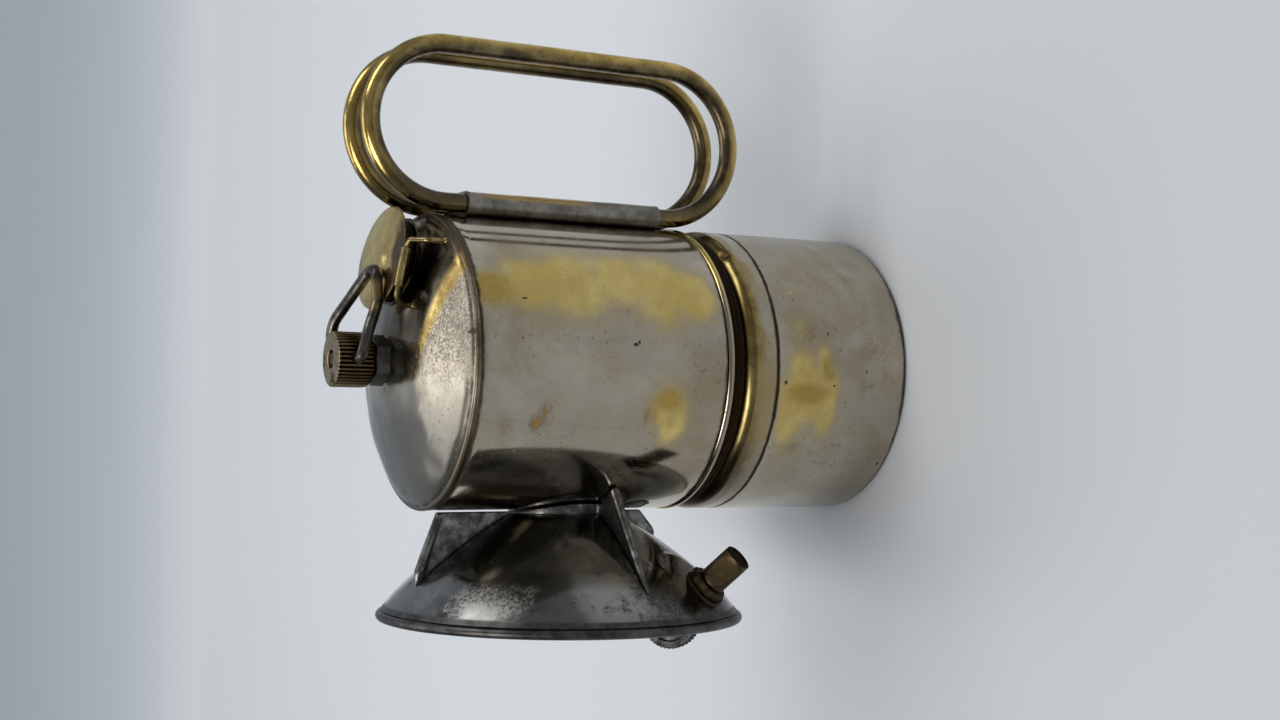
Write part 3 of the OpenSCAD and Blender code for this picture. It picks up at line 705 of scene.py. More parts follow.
BASE_SPOTS = [
    (-17, 31, 26, 16, 0.5), (10, 30, 26, 16, 0.42), (-6, 28.5, 10.5, 8.2, 1.3), (-7, 29.5, 5, 9),
    (-12, 33, 7, 3.4), (-8, 22.6, 9, 3.2), (0, 30.5, 5, 5, 1.2), (1.5, 24, 5, 2.6, 1.3),
    (18.6, 31, 1.1, 4.5, 0.85), (72, 27, 8, 2.6), (78, 21.5, 5, 4.5, 1.3), (66, 20, 5, 2, 1.1),
    (-66, 21, 7, 2.2), (-75, 17.5, 4, 3.5, 1.2),
]
BASE_OCHRE = [(-6, 28, 2.5, 6), (0, 22.5, 3, 2), (77, 23, 2.5, 5)]
BASE_SPECKS = [
    (8, 27, 7, 6, 0.6), (-20, 29, 6, 6, 0.6), (24, 14, 5, 9, 0.55), (-4, 13, 16, 5, 0.5),
    (110, 18, 14, 8, 0.7),
]
BASE_NICKS = [
    (-3.6, 34.7, 0.7, 0.6), (8.2, 22.5, 0.7, 0.45), (-0.5, 12, 0.6, 0.4), (-24.6, 2.6, 0.6, 0.4),
    (-4.1, 21.1, 0.5, 0.8, 1.3), (48, 26, 0.8, 0.5), (-62, 14, 0.6, 0.7), (92, 30, 0.7, 0.5),
]
RIM_SPOTS = [(30, 49.5, 14, 1.6), (-60, 49.5, 20, 1.6), (100, 49.5, 16, 1.6)]
DOME_NICKS = [(5.8, 112.6, 0.9, 0.9), (-36, 112.8, 0.8, 0.4), (60, 112.7, 0.7, 0.5)]
COLLAR_DIM = [(-36, 42, 17, 8), (66, 42, 16, 8), (-100, 42, 10, 8)]
COLLAR_LOW = [(-7, 39.4, 20, 5, 1.3), (-32, 39.5, 8, 3, 0.8), (22, 40, 12, 3, 0.9)]


def shade(tone, share):
    return tuple(c * share for c in tone)


def worn_plate(s, shine):
    """Handled nickel plate as the ground for more coats; gives its fine relief."""
    s.ground(s.fleck((48, 5), 0.35, 0.68), NICKEL_DULL, NICKEL, shine + 0.07, shine)
    s.coat(s.fleck((34, 6, 0.66, None, 0.6), 0.47, 0.7, 0, 0.75), TARNISH, 1, shine + 0.11)
    s.coat(s.fleck((230, 5, 0.65, s.stretch(1, 1, 0.07)), 0.53, 0.76, 0, 0.5), shade(NICKEL_DULL, 0.8))
    specks = s.times(s.fleck((1050, 4, 0.75), 0.59, 0.7), s.fleck((75, 4), 0.44, 0.62))
    s.coat(specks, STAIN, 0.85)
    smear = s.fleck((120, 6, 0.72, s.stretch(1, 1, 0.5), 0.8), 0.6, 0.74, 0, 0.6)
    s.coat(smear, SMEAR)
    s.grind(s.most(specks, smear), 0.5)
    scratches = s.fleck((620, 2, 0.5, s.stretch(0.12, 0.12, 1), 1.4), 0.62, 0.7)
    relief = s.less(s.times(s.noise(2400, 3, 0.7), 0.25), s.times(specks, 0.8))
    return s.add(relief, s.times(scratches, 0.35))


def plated(name, spots, shine=0.09, ochre=(), specked=(), seams=(), nicks=()):
    """Worn nickel plate, rubbed through to the brass in patches and specks, with nicks and with dark bands at
    given heights: grime at seams, and grime with painted shade at the base's bottom edge.
    """
    s = Shader(name)
    relief = worn_plate(s, shine)
    field = s.patches(spots)
    bare = s.times(s.span(field, 0.35, 0.95), s.fleck((240, 6, 0.72), 0.22, 0.55, 0.6, 1.0))
    gold = s.mix(s.fleck((80, 5, 0.6), 0.38, 0.64), BRASS, BRASS_PALE)
    if ochre:
        gold = s.mix(s.span(s.patches(ochre), 0.1, 1.0, 0, 0.8), gold, OCHRE)
    gold = s.mix(s.fleck((520, 5, 0.72), 0.56, 0.75, 0, 0.4), gold, BRASS_DULL)
    s.coat(s.span(field, -0.1, 0.6, 0, 0.5), OLIVE)
    s.coat(bare, gold, 1, 0.25)
    if specked:
        haze = s.patches(specked, 0.5, 1.1)
        s.coat(s.span(haze, 0.0, 1.1, 0, 0.7), RUST_HAZE)
        s.coat(s.span(haze, 0.7, 1.25, 0, 0.95), RUST)
        s.grind(s.span(haze, 0.2, 1.0), 0.38)
    # Dark bands at given heights: grime at seams; at the base's bottom edge also painted shade.
    for height, reach in seams:
        gap = s.add(s.size(s.less(s.axes[2], height)), s.wobble(2 * reach, 230, 5, 0.7))
        s.coat(s.span(gap, reach, 0.25 * reach, 0, 0.9), GRIME, 1, 0.5)
    if nicks:
        pit = s.span(s.patches(nicks, 0.6, 0.5), 0.6, 1.05)
        s.coat(pit, PIT, 0.9, 0.5)
        relief = s.less(relief, s.times(pit, 1.5))
    return s.finish(relief, 0.1, 0.12)


def aged_brass(name, bright=BRASS, dull=BRASS_DULL, low=0.42, high=0.68, shine=0.2, scale=110):
    """Handled brass: bright where it is rubbed, brown where it is not."""
    s = Shader(name)
    s.ground(s.fleck((scale, 5, 0.6), low, high), dull, bright, shine + 0.2, shine)
    s.coat(s.fleck((620, 4, 0.72), 0.56, 0.74), STAIN, 0.65, 0.6)
    return s.finish(s.noise(1800, 4, 0.7), 0.1, 0.15)


def grooved(name, point, way, low, high, ridge, deep, top=None, face=None):
    """Knurled metal: ridges rubbed bright, grooves full of dirt, and an end face of its own colour."""
    s = Shader(name)
    rubbed = s.mix(s.fleck((240, 5, 0.65), 0.35, 0.68), shade(ridge, 0.55), ridge)
    s.ground(s.span(s.off_axis(point, way), low, high), deep, rubbed, 0.65, 0.3)
    if face:
        level = s.times(s.span(s.axes[2], top - 0.35, top - 0.1), s.fleck((330, 4, 0.7), 0.7, 0.45))
        s.coat(level, face, 1, 0.24)
    return s.finish(s.noise(1700, 4, 0.7), 0.14, 0.15)


def dark_steel(name, light=(0.30, 0.30, 0.29), dark=(0.10, 0.10, 0.10), shine=0.26, scale=150):
    """Tarnished steel with rubbed lighter areas."""
    s = Shader(name)
    s.ground(s.fleck((scale, 6, 0.66), 0.4, 0.66), dark, light, shine + 0.22, shine)
    s.coat(s.fleck((1100, 4, 0.75), 0.52, 0.72), shade(dark, 0.4), 0.5, 0.6)
    return s.finish(s.noise(1400, 5, 0.72), 0.16, 0.18)


def rubber(name, colour):
    """Old rubber with dust in its pores."""
    s = Shader(name, 0.0)
    s.bsdf.inputs["Specular IOR Level"].default_value = 0.05
    s.colour = s.mix(s.fleck((420, 5, 0.72), 0.54, 0.82, 0, 0.4), colour, DUST)
    s.rough = s.fleck((300, 3), 0.3, 0.7, 0.5, 0.8)
    return s.finish(s.noise(1500, 4), 0.25, 0.2)


def dome_metal():
    """The dome: nickel with a matt pitted front, a brass streak from nut to edge, painted shade and dark
    reflection beside the streak towards the neck, and a painted darker reflection over its reflector side.
    """
    s = Shader("dome_metal")
    relief = worn_plate(s, 0.17)
    x, y, _ = s.axes
    far = s.off_axis(*LAMP_AXIS)
    torn = s.wobble(7.0, 160, 5, 0.62)
    v = s.add(y, 17.0)
    along = s.add(s.times(x, 0.92), s.times(v, -0.39))
    across = s.add(s.times(x, 0.39), s.times(v, 0.92), -0.9, s.times(torn, 0.3))
    matt = s.times(s.span(s.add(x, torn), -9, 1), s.span(across, 0.6, -1.6), s.span(far, 15, 21))
    s.coat(matt, NICKEL_MATT, 0.8, 0.34)
    grain = s.add(s.times(s.noise(1900, 6, 0.82), 0.78), s.times(s.noise(480, 4, 0.65), 0.22))
    thick = s.span(s.add(s.times(x, 0.03), s.noise(90, 3)), 0.3, 1.0, 0.0, 0.06)
    pits = s.times(s.span(s.add(grain, thick), 0.49, 0.6), matt)
    s.coat(pits, (0.19, 0.165, 0.13), 0.8)
    narrow = s.span(s.over(s.size(across), s.span(along, 0, 25, 1.3, 2.7)), 1.6, 0.5)
    gold = s.mix(s.fleck((300, 5, 0.65), 0.34, 0.6), (0.46, 0.30, 0.075), (0.74, 0.56, 0.21))
    s.coat(s.times(narrow, s.span(along, -4, 4)), gold, 0.94, 0.22)
    s.grind(pits, 0.5)
    # Painted shade and dark reflection: the dome is darkened beside the streak, towards the neck and handle.
    behind = s.times(s.span(across, 0.6, 2.8), s.span(x, 0, 6), s.span(y, 16, 4))
    s.coat(s.times(behind, s.fleck((130, 5, 0.65), 0.25, 0.55, 0.65, 0.97)), (0.085, 0.064, 0.038))
    # Painted darker reflection over the dome's reflector side.
    s.coat(s.span(s.less(s.times(torn, 0.8), x), 4, 15, 0, 0.85), (0.175, 0.163, 0.14))
    edge = s.times(s.span(far, 33.2, 33.7), s.fleck((75, 4), 0.36, 0.62, 0.55, 0.95))
    s.coat(edge, (0.085, 0.062, 0.034))
    crack = s.times(s.span(far, 32.3, 32.8), s.span(far, 33.4, 33.0), s.fleck((210, 5, 0.7), 0.3, 0.55))
    s.coat(crack, STAIN, 0.9)
    s.coat(s.span(s.patches(DOME_NICKS, 0.6, 0.5), 0.6, 1.05), STAIN, 0.9)
    foot = s.times(s.span(far, 11, 5.5), s.fleck((170, 5, 0.65), 0.34, 0.62))
    s.coat(foot, STAIN, 0.7)
    s.grind(s.most(crack, edge, foot), 0.42)
    return s.finish(s.less(relief, s.times(pits, 1.4)), 0.22, 0.16)


def bowl_metal():
    """The reflector: dark tarnish outside with rubbed patches and a dark rim, and a duller mirror inside."""
    s = Shader("bowl_metal")
    x, y, z = s.axes
    far = s.off_axis((0, 0, BEAM_Z), (1, 0, 0))
    turn = s.times(s.math("ARCTAN2", s.less(z, BEAM_Z), s.times(y, -1.0)), 180 / math.pi)
    ratio = s.over(far, BOWL_R)
    curve = s.times(s.less(1.0, s.times(ratio, ratio)), BOWL_CURVE)
    straight = s.math("SMOOTH_MIN", curve, s.less(CONE_DEPTH, s.times(far, CONE_SLOPE)), CONE_BLEND)
    foot = on_striker((0, 0, 0))
    boss = s.span(s.hypot(s.less(y, foot.y), s.less(z, foot.z)), BOSS_OUT, BOSS_IN)
    depth = s.blend(s.most(boss, 1 - CONE_SHARE), straight, curve)
    inner = s.span(s.less(s.add(x, RIM_X), depth), 0.45, 0.15)
    torn = s.less(s.noise(230, 6, 0.72), 0.5)
    torn_turn = s.add(turn, s.times(torn, 34.0))
    torn_far = s.add(far, s.times(torn, 7.0))

    def rubbed(a, b, low, high):
        """A ragged patch between two angles round the beam and two distances from it."""
        sides = s.times(s.span(torn_turn, a - 3, a + 4), s.span(torn_turn, b + 3, b - 4))
        ends = s.span(torn_far, low - 0.8, low + 1.2), s.span(torn_far, high + 0.8, high - 1.2)
        return s.times(sides, *ends)

    grit = s.fleck((1300, 6, 0.8), 0.3, 0.66)
    blot = s.fleck((44, 6, 0.62, None, 0.4), 0.54, 0.66, 0, 0.55)
    worn = s.times(s.most(rubbed(35, 66, 34.2, 40.6), rubbed(172, 214, 33, 40), blot), grit)
    s.colour = s.mix(s.fleck((62, 6, 0.6), 0.35, 0.65), (0.145, 0.143, 0.138), (0.235, 0.232, 0.222))
    s.rough = s.blend(worn, 0.11, 0.42)
    s.coat(s.most(rubbed(-4, 22, 31, 40), rubbed(120, 150, 28, 37)), (0.30, 0.298, 0.285), 0.7, 0.2)
    s.coat(worn, (0.48, 0.465, 0.43), 0.7)
    dark = s.fleck((170, 6, 0.75), 0.53, 0.66, 0, 0.75)
    dark = s.most(dark, s.times(rubbed(-24, -5, 35, 41.5), grit, 0.9))
    dark = s.most(dark, s.times(rubbed(29, 45, 30.6, 35.2), 0.75))
    s.coat(dark, (0.035, 0.034, 0.032), 1, 0.38)
    haze = s.fleck((70, 5, 0.6), 0.4, 0.75)
    soot = s.times(s.span(far, 24, 9), s.fleck((120, 4), 0.3, 0.6), 0.75)
    mirror = s.mix(soot, s.mix(haze, (0.55, 0.535, 0.51), (0.40, 0.38, 0.35)), (0.10, 0.09, 0.08))
    s.coat(inner, mirror, 1, s.span(haze, 0, 1, 0.27, 0.4))
    lip = s.mix(s.fleck((210, 5, 0.7), 0.35, 0.65), (0.05, 0.048, 0.046), (0.11, 0.108, 0.103))
    s.coat(s.span(far, 40.9, 41.4), lip, 1, 0.4)
    rings = s.noise(1500, 2, 0.5, s.node("ShaderNodeCombineXYZ", {0: s.times(far, MM)}).outputs[0])
    return s.finish(s.add(s.times(rings, 0.2), s.times(s.noise(700, 6, 0.75), 0.5)), 0.12, 0.15)


def collar_metal():
    """The collar: bare brass on its shoulder, nickel plate below, dirt in the seam and painted shade under
    the gasket.
    """
    s = Shader("collar_metal")
    relief = worn_plate(s, 0.12)
    height = s.axes[2]
    bare = s.span(s.add(height, s.wobble(5.0, 120, 5, 0.62)), 39.6, 42.0)
    gold = s.mix(s.fleck((95, 5, 0.6), 0.36, 0.64), (0.23, 0.16, 0.05), (0.42, 0.325, 0.125))
    gold = s.mix(s.fleck((420, 5, 0.72), 0.5, 0.68, 0, 0.6), gold, STAIN)
    gold = s.mix(s.fleck((55, 5, 0.6), 0.42, 0.62, 0, 0.65), gold, (0.12, 0.085, 0.035))
    dim = s.span(s.patches(COLLAR_DIM), 0.1, 1.1, 0, 0.85)
    s.coat(bare, s.mix(dim, gold, (0.075, 0.054, 0.03)), 1, 0.24)
    s.coat(s.span(s.patches(COLLAR_LOW), 0.1, 1.05), (0.325, 0.255, 0.115), 0.85)
    s.coat(dim, (0.12, 0.095, 0.06), 0.7)
    # Painted shade where the collar's top runs in under the gasket; the darkening at the seam below is dirt.
    under = s.times(s.span(s.off_axis(*LAMP_AXIS), 33.3, 32.2), s.span(height, 43.0, 44.0))
    seam = s.span(s.add(height, s.wobble(0.9, 260, 4, 0.7)), 37.7, 37.1)
    s.coat(s.most(under, seam), (0.045, 0.032, 0.018), 0.92, 0.5)
    return s.finish(relief, 0.12, 0.15)


def lever_metal():
    """Dark steel wire, brassy on the outer half of its near leg."""
    s = Shader("lever_metal")
    x, y, _ = s.axes
    s.ground(s.fleck((190, 6, 0.68), 0.4, 0.66), (0.042, 0.038, 0.033), (0.15, 0.137, 0.12), 0.42, 0.25)
    gold = s.times(s.span(x, 9.5, 11.5), s.span(x, 19, 16), s.span(y, -4.5, -6), s.fleck((260, 4), 0.3, 0.6))
    s.coat(gold, (0.30, 0.225, 0.10), 0.8)
    s.coat(s.fleck((1100, 4, 0.75), 0.52, 0.72), (0.03, 0.026, 0.021), 0.55)
    return s.finish(s.noise(1400, 5, 0.72), 0.16, 0.18)


def lid_metal():
    """The lid: rubbed brass on top, old dark tarnish along the hinge."""
    s = Shader("lid_metal")
    s.ground(s.fleck((95, 5, 0.62), 0.34, 0.66), (0.44, 0.32, 0.122), (0.76, 0.575, 0.215), 0.3, 0.17)
    line = on_mouth((1, 0, 0)) - on_mouth((0, 0, 0))
    near = s.add(s.off_axis(on_mouth((0, HINGE_Y, LID_Z)), line), s.wobble(7.0, 170, 5, 0.65))
    old = s.span(near, 6.8, 3.6)
    s.coat(old, (0.05, 0.034, 0.028), 0.95)
    grime = s.fleck((620, 5, 0.72), 0.56, 0.74)
    s.coat(grime, STAIN, 0.6)
    s.grind(s.most(old, grime), 0.42)
    return s.finish(s.noise(1700, 5, 0.72), 0.11, 0.15)


def wire_metal():
    """Brass wire of the handle: golden on the outside of the loop, partly rubbed brass and partly painted
    highlight, and brown inside it as painted shade.
    """
    s = Shader("wire_metal")
    x, _, z = s.axes
    end = s.most(s.less(s.size(s.less(z, LOOP_Z)), (LOOP_H - LOOP_W) / 2), 0.0)
    reach = s.less(s.hypot(s.less(x, LOOP_X), end), LOOP_W / 2)
    # Painted light: the outer side of the loop is coloured as lit gold, and its inner side as shaded brown.
    out = s.span(s.add(reach, s.wobble(3.6, 70, 5, 0.62)), -1.4, 1.5)
    golden = s.mix(s.fleck((150, 5, 0.62), 0.36, 0.62), (0.36, 0.245, 0.072), (0.62, 0.455, 0.15))
    brown = s.mix(s.fleck((110, 5, 0.65), 0.4, 0.64), (0.075, 0.058, 0.035), (0.21, 0.16, 0.087))
    s.ground(out, brown, golden, 0.26, 0.17)
    # Painted shade: the wire is darker where it runs near the tank.
    s.coat(s.times(s.span(x, 46, 38), s.fleck((90, 4), 0.3, 0.55, 0.4, 0.85)), (0.095, 0.076, 0.046))
    s.coat(s.fleck((680, 5, 0.75), 0.56, 0.72), STAIN, 0.7, 0.55)
    return s.finish(s.noise(1500, 5, 0.72), 0.12, 0.15)


def clip_sheet():
    """The clip's grey sheet, scratched across, with a brass stripe worn along its outer side."""
    s = Shader("clip_metal")
    x, y, z = s.axes
    s.ground(s.fleck((120, 6, 0.66), 0.36, 0.66), (0.17, 0.155, 0.13), (0.34, 0.32, 0.28), 0.4, 0.26)
    outer = s.span(s.add(x, s.wobble(2.4, 130, 4, 0.6, s.stretch(1, 1, 0.3))), GRIP_X + 0.9, GRIP_X + 2.0)
    worn_z = s.add(z, s.wobble(14.0, 90, 5, 0.6))
    stripe = s.times(outer, s.span(s.size(y), 4.6, 6.2), s.span(worn_z, 70, 80), s.span(worn_z, 105, 96))
    s.coat(stripe, (0.45, 0.30, 0.085), 0.85, 0.24)
    lines = s.fleck((900, 3, 0.6, s.stretch(0.15, 0.15, 1), 0.6), 0.6, 0.68)
    s.coat(lines, (0.06, 0.05, 0.038), 0.6)
    s.coat(s.fleck((1000, 4, 0.75), 0.54, 0.72), STAIN, 0.45)
    return s.finish(s.less(s.times(s.noise(1400, 5, 0.72), 0.6), lines), 0.16, 0.16)


def ceramic():
    """The burner's pale tip, with soot."""
    s = Shader("ceramic", 0.0)
    s.colour = s.mix(s.fleck((400, 4, 0.6), 0.5, 0.75, 0, 0.6), (0.78, 0.75, 0.68), (0.20, 0.17, 0.14))
    s.rough = 0.42
    return s.finish(s.noise(1500, 3), 0.15, 0.1)


def felt():
    """Wool felt."""
    s = Shader("felt", 0.0)
    s.colour = s.mix(s.noise(900, 4, 0.7), (0.46, 0.40, 0.30), (0.62, 0.56, 0.45))
    s.rough = 0.95
    return s.finish(s.noise(2400, 5, 0.8), 0.6, 0.4)


tank_metal = plated("tank_metal", TANK_SPOTS, 0.055, TANK_OCHRE, TANK_SPECKS, [(WALL_Z, 1.0), (TANK_Z, 0.9)],
                    TANK_NICKS)
# The base's second band runs round its bottom edge: grime with painted shade where it meets the floor.
base_metal = plated("base_metal", BASE_SPOTS, 0.16, BASE_OCHRE, BASE_SPECKS, [(BASE_H, 0.6), (0.4, 1.2)],
                    BASE_NICKS)
rim_metal = plated("rim_metal", RIM_SPOTS, 0.1)
# Painted shade: the filler neck is coloured dark brown for the shade and dark reflections on it.
neck_metal = dark_steel("neck_metal", (0.15, 0.12, 0.08), (0.045, 0.035, 0.022), 0.2, 120)
collar_mat = collar_metal()
dome_mat = dome_metal()
bowl_mat = bowl_metal()
brass = aged_brass("brass")
brass_bright = aged_brass("brass_bright", (0.66, 0.50, 0.19), BRASS_DULL, 0.32, 0.58)
brass_dark = aged_brass("brass_dark", (0.23, 0.165, 0.07), (0.055, 0.04, 0.022), 0.45, 0.75, 0.3)
hinge_brass = aged_brass("hinge_brass", (0.34, 0.26, 0.105), (0.11, 0.083, 0.04), 0.38, 0.64, 0.22, 160)
knuckle_brass = aged_brass("knuckle_brass", (0.54, 0.42, 0.165), (0.24, 0.18, 0.075), 0.34, 0.6, 0.2, 200)
wire_brass = wire_metal()
lid_brass = lid_metal()
knob_brass = grooved("knob_brass", *LAMP_AXIS, KNOB_R - 0.36, KNOB_R - 0.08, (0.19, 0.133, 0.062),
                     (0.013, 0.01, 0.007), KNOB_TOP, (0.31, 0.24, 0.125))
brace_mat = dark_steel("brace_metal", (0.30, 0.298, 0.288), (0.09, 0.089, 0.086), 0.24, 230)
clip_metal = clip_sheet()
post_mat = dark_steel("post_metal", (0.15, 0.135, 0.115), (0.045, 0.039, 0.031), 0.32, 200)
nut_steel = dark_steel("nut_steel", (0.27, 0.268, 0.255), (0.085, 0.083, 0.078), 0.18, 90)
bracket_steel = dark_steel("bracket_steel", (0.26, 0.25, 0.23), (0.08, 0.075, 0.07), 0.28, 200)
steel = dark_steel("steel")
wheel_steel = dark_steel("wheel_steel", (0.13, 0.125, 0.12), (0.035, 0.034, 0.032), 0.32, 200)
lever_steel = lever_metal()
black_rubber = rubber("black_rubber", (0.022, 0.0115, 0.004))
lid_rubber = rubber("lid_rubber", (0.016, 0.012, 0.009))
ceramic_mat = ceramic()
felt_mat = felt()
spark_foot = on_striker((0, 0, 0))
cap_brass = grooved("cap_brass", spark_foot, on_striker((0, 0, 1)) - spark_foot, CAP_R - 0.14, CAP_R - 0.02,
                    (0.105, 0.075, 0.038), (0.015, 0.011, 0.007))


# Base

cup_out = [(0, 0.5), (26, 0.5), (27.5, 0.12), (29, 0.0)] + arc(BASE_R - 1.6, 1.6, 1.6, -80, 0, 8)
cup_out += steps((BASE_R, 2.4), (BASE_R, BASE_H - 0.3), 26) + off(BASE_R, BASE_H, (-0.1, -0.1), (-0.4, -0.02))
cup_in = [(0, 1.0), (26, 1.0), (31, 0.95)] + arc(BASE_R - 1.7, 1.9, 0.9, -70, 0, 4)
cup_in += steps((BASE_R - BASE_T, 2.6), (BASE_R - BASE_T, BASE_H), 8)
turned("base_cup_shell", cup_out + cup_in[::-1], 192, "base", "base_cup", base_metal,
       ripple(0.07, 16, 2.0), closed=False)

roll_z = COLLAR_Z - COLLAR_ROLL
collar = off(0, BASE_H, (32.4, -3.4), (33.3, -3.3), (33.3, 0.02))
collar += off(BASE_R, BASE_H, (-0.4, 0.04), (-0.1, 0.12), (0, 0.32))
collar += steps((BASE_R, BASE_H + 1), (BASE_R, roll_z - 1.4), 5)
collar += off(BASE_R, roll_z, (-0.22, -0.9), (-0.16, -0.4))
collar += arc(BASE_R - COLLAR_ROLL, roll_z, COLLAR_ROLL, 4, 90, 12)
collar += [(30, COLLAR_Z - 0.02)] + off(SKIRT_R, COLLAR_Z, (0.3, -0.05), (0, -0.35))
collar += steps((SKIRT_R, COLLAR_Z - 1), (SKIRT_R, BASE_H + 1), 4) + off(SKIRT_R, BASE_H, (0.8, 1))
collar += off(0, COLLAR_Z, (SKIRT_R + 0.8, -0.9), (31, -0.9), (33.0, -2.3))
collar += off(0, BASE_H, (32.9, 0.8), (32.4, 0.7))
COLLAR_DENT = Vector((26.5, -20.5, 43.6))


def collar_warp(p):
    """Ripples, and the dent that the collar's shoulder has at the handle's side."""
    p = ripple(0.1, 11, 5.0)(p)
    d = (p - COLLAR_DENT).length
    k = 0.55 * math.exp(-((d / 2.2) ** 2)) * math.cos(d * 1.3)
    return p - Vector((p.x, p.y, 0)).normalized() * k


turned("base_collar_shell", collar, 192, "base", "base_collar", collar_mat, collar_warp)

gasket = off(SKIRT_R, GASKET_Z, (0, 0.1), (0.3, 0))
gasket += arc(GASKET_R - GASKET_ROUND, GASKET_Z + GASKET_ROUND, GASKET_ROUND, -90, 0, 6)
gasket += off(GASKET_R, GASKET_Z, (-0.25, 1.7))
gasket += arc(GASKET_R - GASKET_ROUND - 0.1, GASKET_Z + GASKET_H - GASKET_ROUND, GASKET_ROUND, 0, 90, 6)
gasket += off(SKIRT_R, GASKET_Z + GASKET_H, (0.3, 0), (0, -0.1))
turned("gasket_ring", gasket, 160, "seal", "base_gasket", black_rubber, ripple(0.16, 4, 8.0))


# Tank


def thread(t, r, z):
    """Radius of the screw neck with its right-hand thread cut in."""
    if abs(r - THREAD_R) > TINY:
        return r
    turn = ((z - FLOOR_Z) / THREAD_LEAD - t / math.tau) % 1
    return r - THREAD_DEEP * max(0, math.cos(math.tau * turn)) ** 1.5


neck_low = FLOOR_Z - 10
neck = steps((THREAD_R, FLOOR_Z - 0.02), (THREAD_R, neck_low + 0.3), 60)
neck += off(THREAD_R, neck_low, (-0.3, 0), (-0.8, 0))
neck += off(THREAD_R, LEDGE_Z, (-0.8, 0), (-1.9, 0), (-1.9, 0.6), (-0.8, 0.6))
neck += off(THREAD_R, FLOOR_Z, (-0.8, -0.02))
turned("threaded_neck", neck, 192, "lamp", "screw_neck", brass, wave=thread)

felt_low = FELT_Z - FELT_T
felt_ring = off(0, felt_low, (2.7, 0.3), (3.2, 0)) + steps((8, felt_low - 0.02), (26, felt_low), 8)
felt_ring += off(0, felt_low, (26.9, 0.5), (27.0, 1.5))
felt_ring += off(0, FELT_Z, (26.9, -0.4), (26.3, 0), (3.2, 0), (2.7, -0.3))
turned("felt_pad", felt_ring, 128, "lamp", "felt_filter", felt_mat, ripple(0.05, 2, 4.0))

rim = off(0, FLOOR_Z, (0, 0), (THREAD_R, 0), (31, 0.02))
rim += arc(RIM_R - 0.95, FLOOR_Z + 0.95, 0.95, -90, 90, 12)
rim += off(0, TANK_Z, (33.25, -0.1), (33.22, 3.4), (32.45, 3.4))
rim += off(0, FLOOR_Z + FLOOR_T, (32.45, 0), (0, 0))
turned("tank_floor_pan", rim, 192, "lamp", "tank_floor", rim_metal, ripple(0.03, 9, 1.0),
       closed=False)

wall = off(TANK_R, TANK_Z, (-0.5, 0), (-0.1, 0.12))
wall += steps((TANK_R, TANK_Z + 0.4), (TANK_R, WALL_Z - 0.5), 40)
wall += off(TANK_R, WALL_Z, (-0.1, -0.15), (-0.3, 0))
wall += steps((TANK_R - TANK_T, TANK_Z), (TANK_R - TANK_T, WALL_Z), 6)[::-1]
turned("tank_wall", wall, 224, "lamp", "water_tank", tank_metal, ripple(0.05, 19, 7.0))

top_out = off(TANK_R, WALL_Z, (-0.72, 0.02), (-0.02, 0.06))
top_out += arc(TANK_R - 0.45, WALL_Z + 0.62, 0.55, -25, 100, 10)
top_out += off(0, WALL_Z, (32.95, 1.42), (32.6, 1.75))
top_out += arc(0, DOME_Z - CROWN_R, CROWN_R, 90 - CROWN_A + 0.6, 90, 46)[1:-1] + [(0, DOME_Z)]
top_in = off(0, WALL_Z, (TANK_R - 0.72, -3.4), (32.5, -3.4), (32.5, 1))
top_in += arc(0, DOME_Z - CROWN_R, CROWN_R - TANK_T, 90 - CROWN_A, 90, 14)[1:-1] + [(0, DOME_Z - TANK_T)]


def hill(x, y, wide, deep):
    """A smooth hill of height 1."""
    return math.exp(-((x / wide) ** 2) - ((y / deep) ** 2))


def dome_warp(p):
    """Soft dents over the dome, and none at its rim or its foot for the post."""
    far = math.hypot(p.x, p.y)
    hold = clamp((32.6 - far) / 3) * clamp((far - 5.5) / 3.5)
    flat = Vector((p.x, p.y, 0))
    k = 0.30 * noise.noise(flat / 12 + Vector((4, 9, 2))) + 0.10 * noise.noise(flat / 4.5 + Vector((1, 2, 7)))
    k -= 0.45 * hill(p.x - 10, p.y + 12, 3.6, 4.5)
    k += 0.25 * hill(p.x + 4 - 0.35 * (p.y + 14), p.y + 14, 3.0, 7)
    if p.y > 0:
        k += 0.8 * (p.y / 34) ** 2 * hill(far - 26, 0, 6, 1)
    return p + Vector((0, 0, hold * k))


dome = turned("tank_dome", top_out + top_in[::-1], 192, "lamp", "tank_top", dome_mat, dome_warp,
              closed=False)
filler_hole = [(0, 0), (NECK_R - 0.8, 0), (NECK_R - 0.8, 14), (0, 14)]
cut(dome, moved(lathe(filler_hole, 96, False), shifted(NECK_X, 0, 107)))


# Filler neck, lid and hinge


def mouth_z(x, y):
    """Height of the neck's slanted mouth over a point."""
    normal = on_mouth((0, 0, 1)) - on_mouth((0, 0, 0))
    return MOUTH_Z - (normal.x * (x - NECK_X) + normal.y * y) / normal.z


def neck_ring(r, drop=None, lift=None, n=96):
    """A ring of points round the neck, at a drop below its mouth or a lift above the dome."""
    out = []
    for t in turns(n):
        x, y = NECK_X + r * math.cos(t), r * math.sin(t)
        z = mouth_z(x, y) - (1.0 - 0.1 * lift if drop is None else drop)
        if drop is None:
            far = min(math.hypot(x, y), TANK_R - 0.02)
            z = min(z, max(WALL_Z + 0.8, dome_height(far) + lift))
        out.append((x, y, z))
    return out


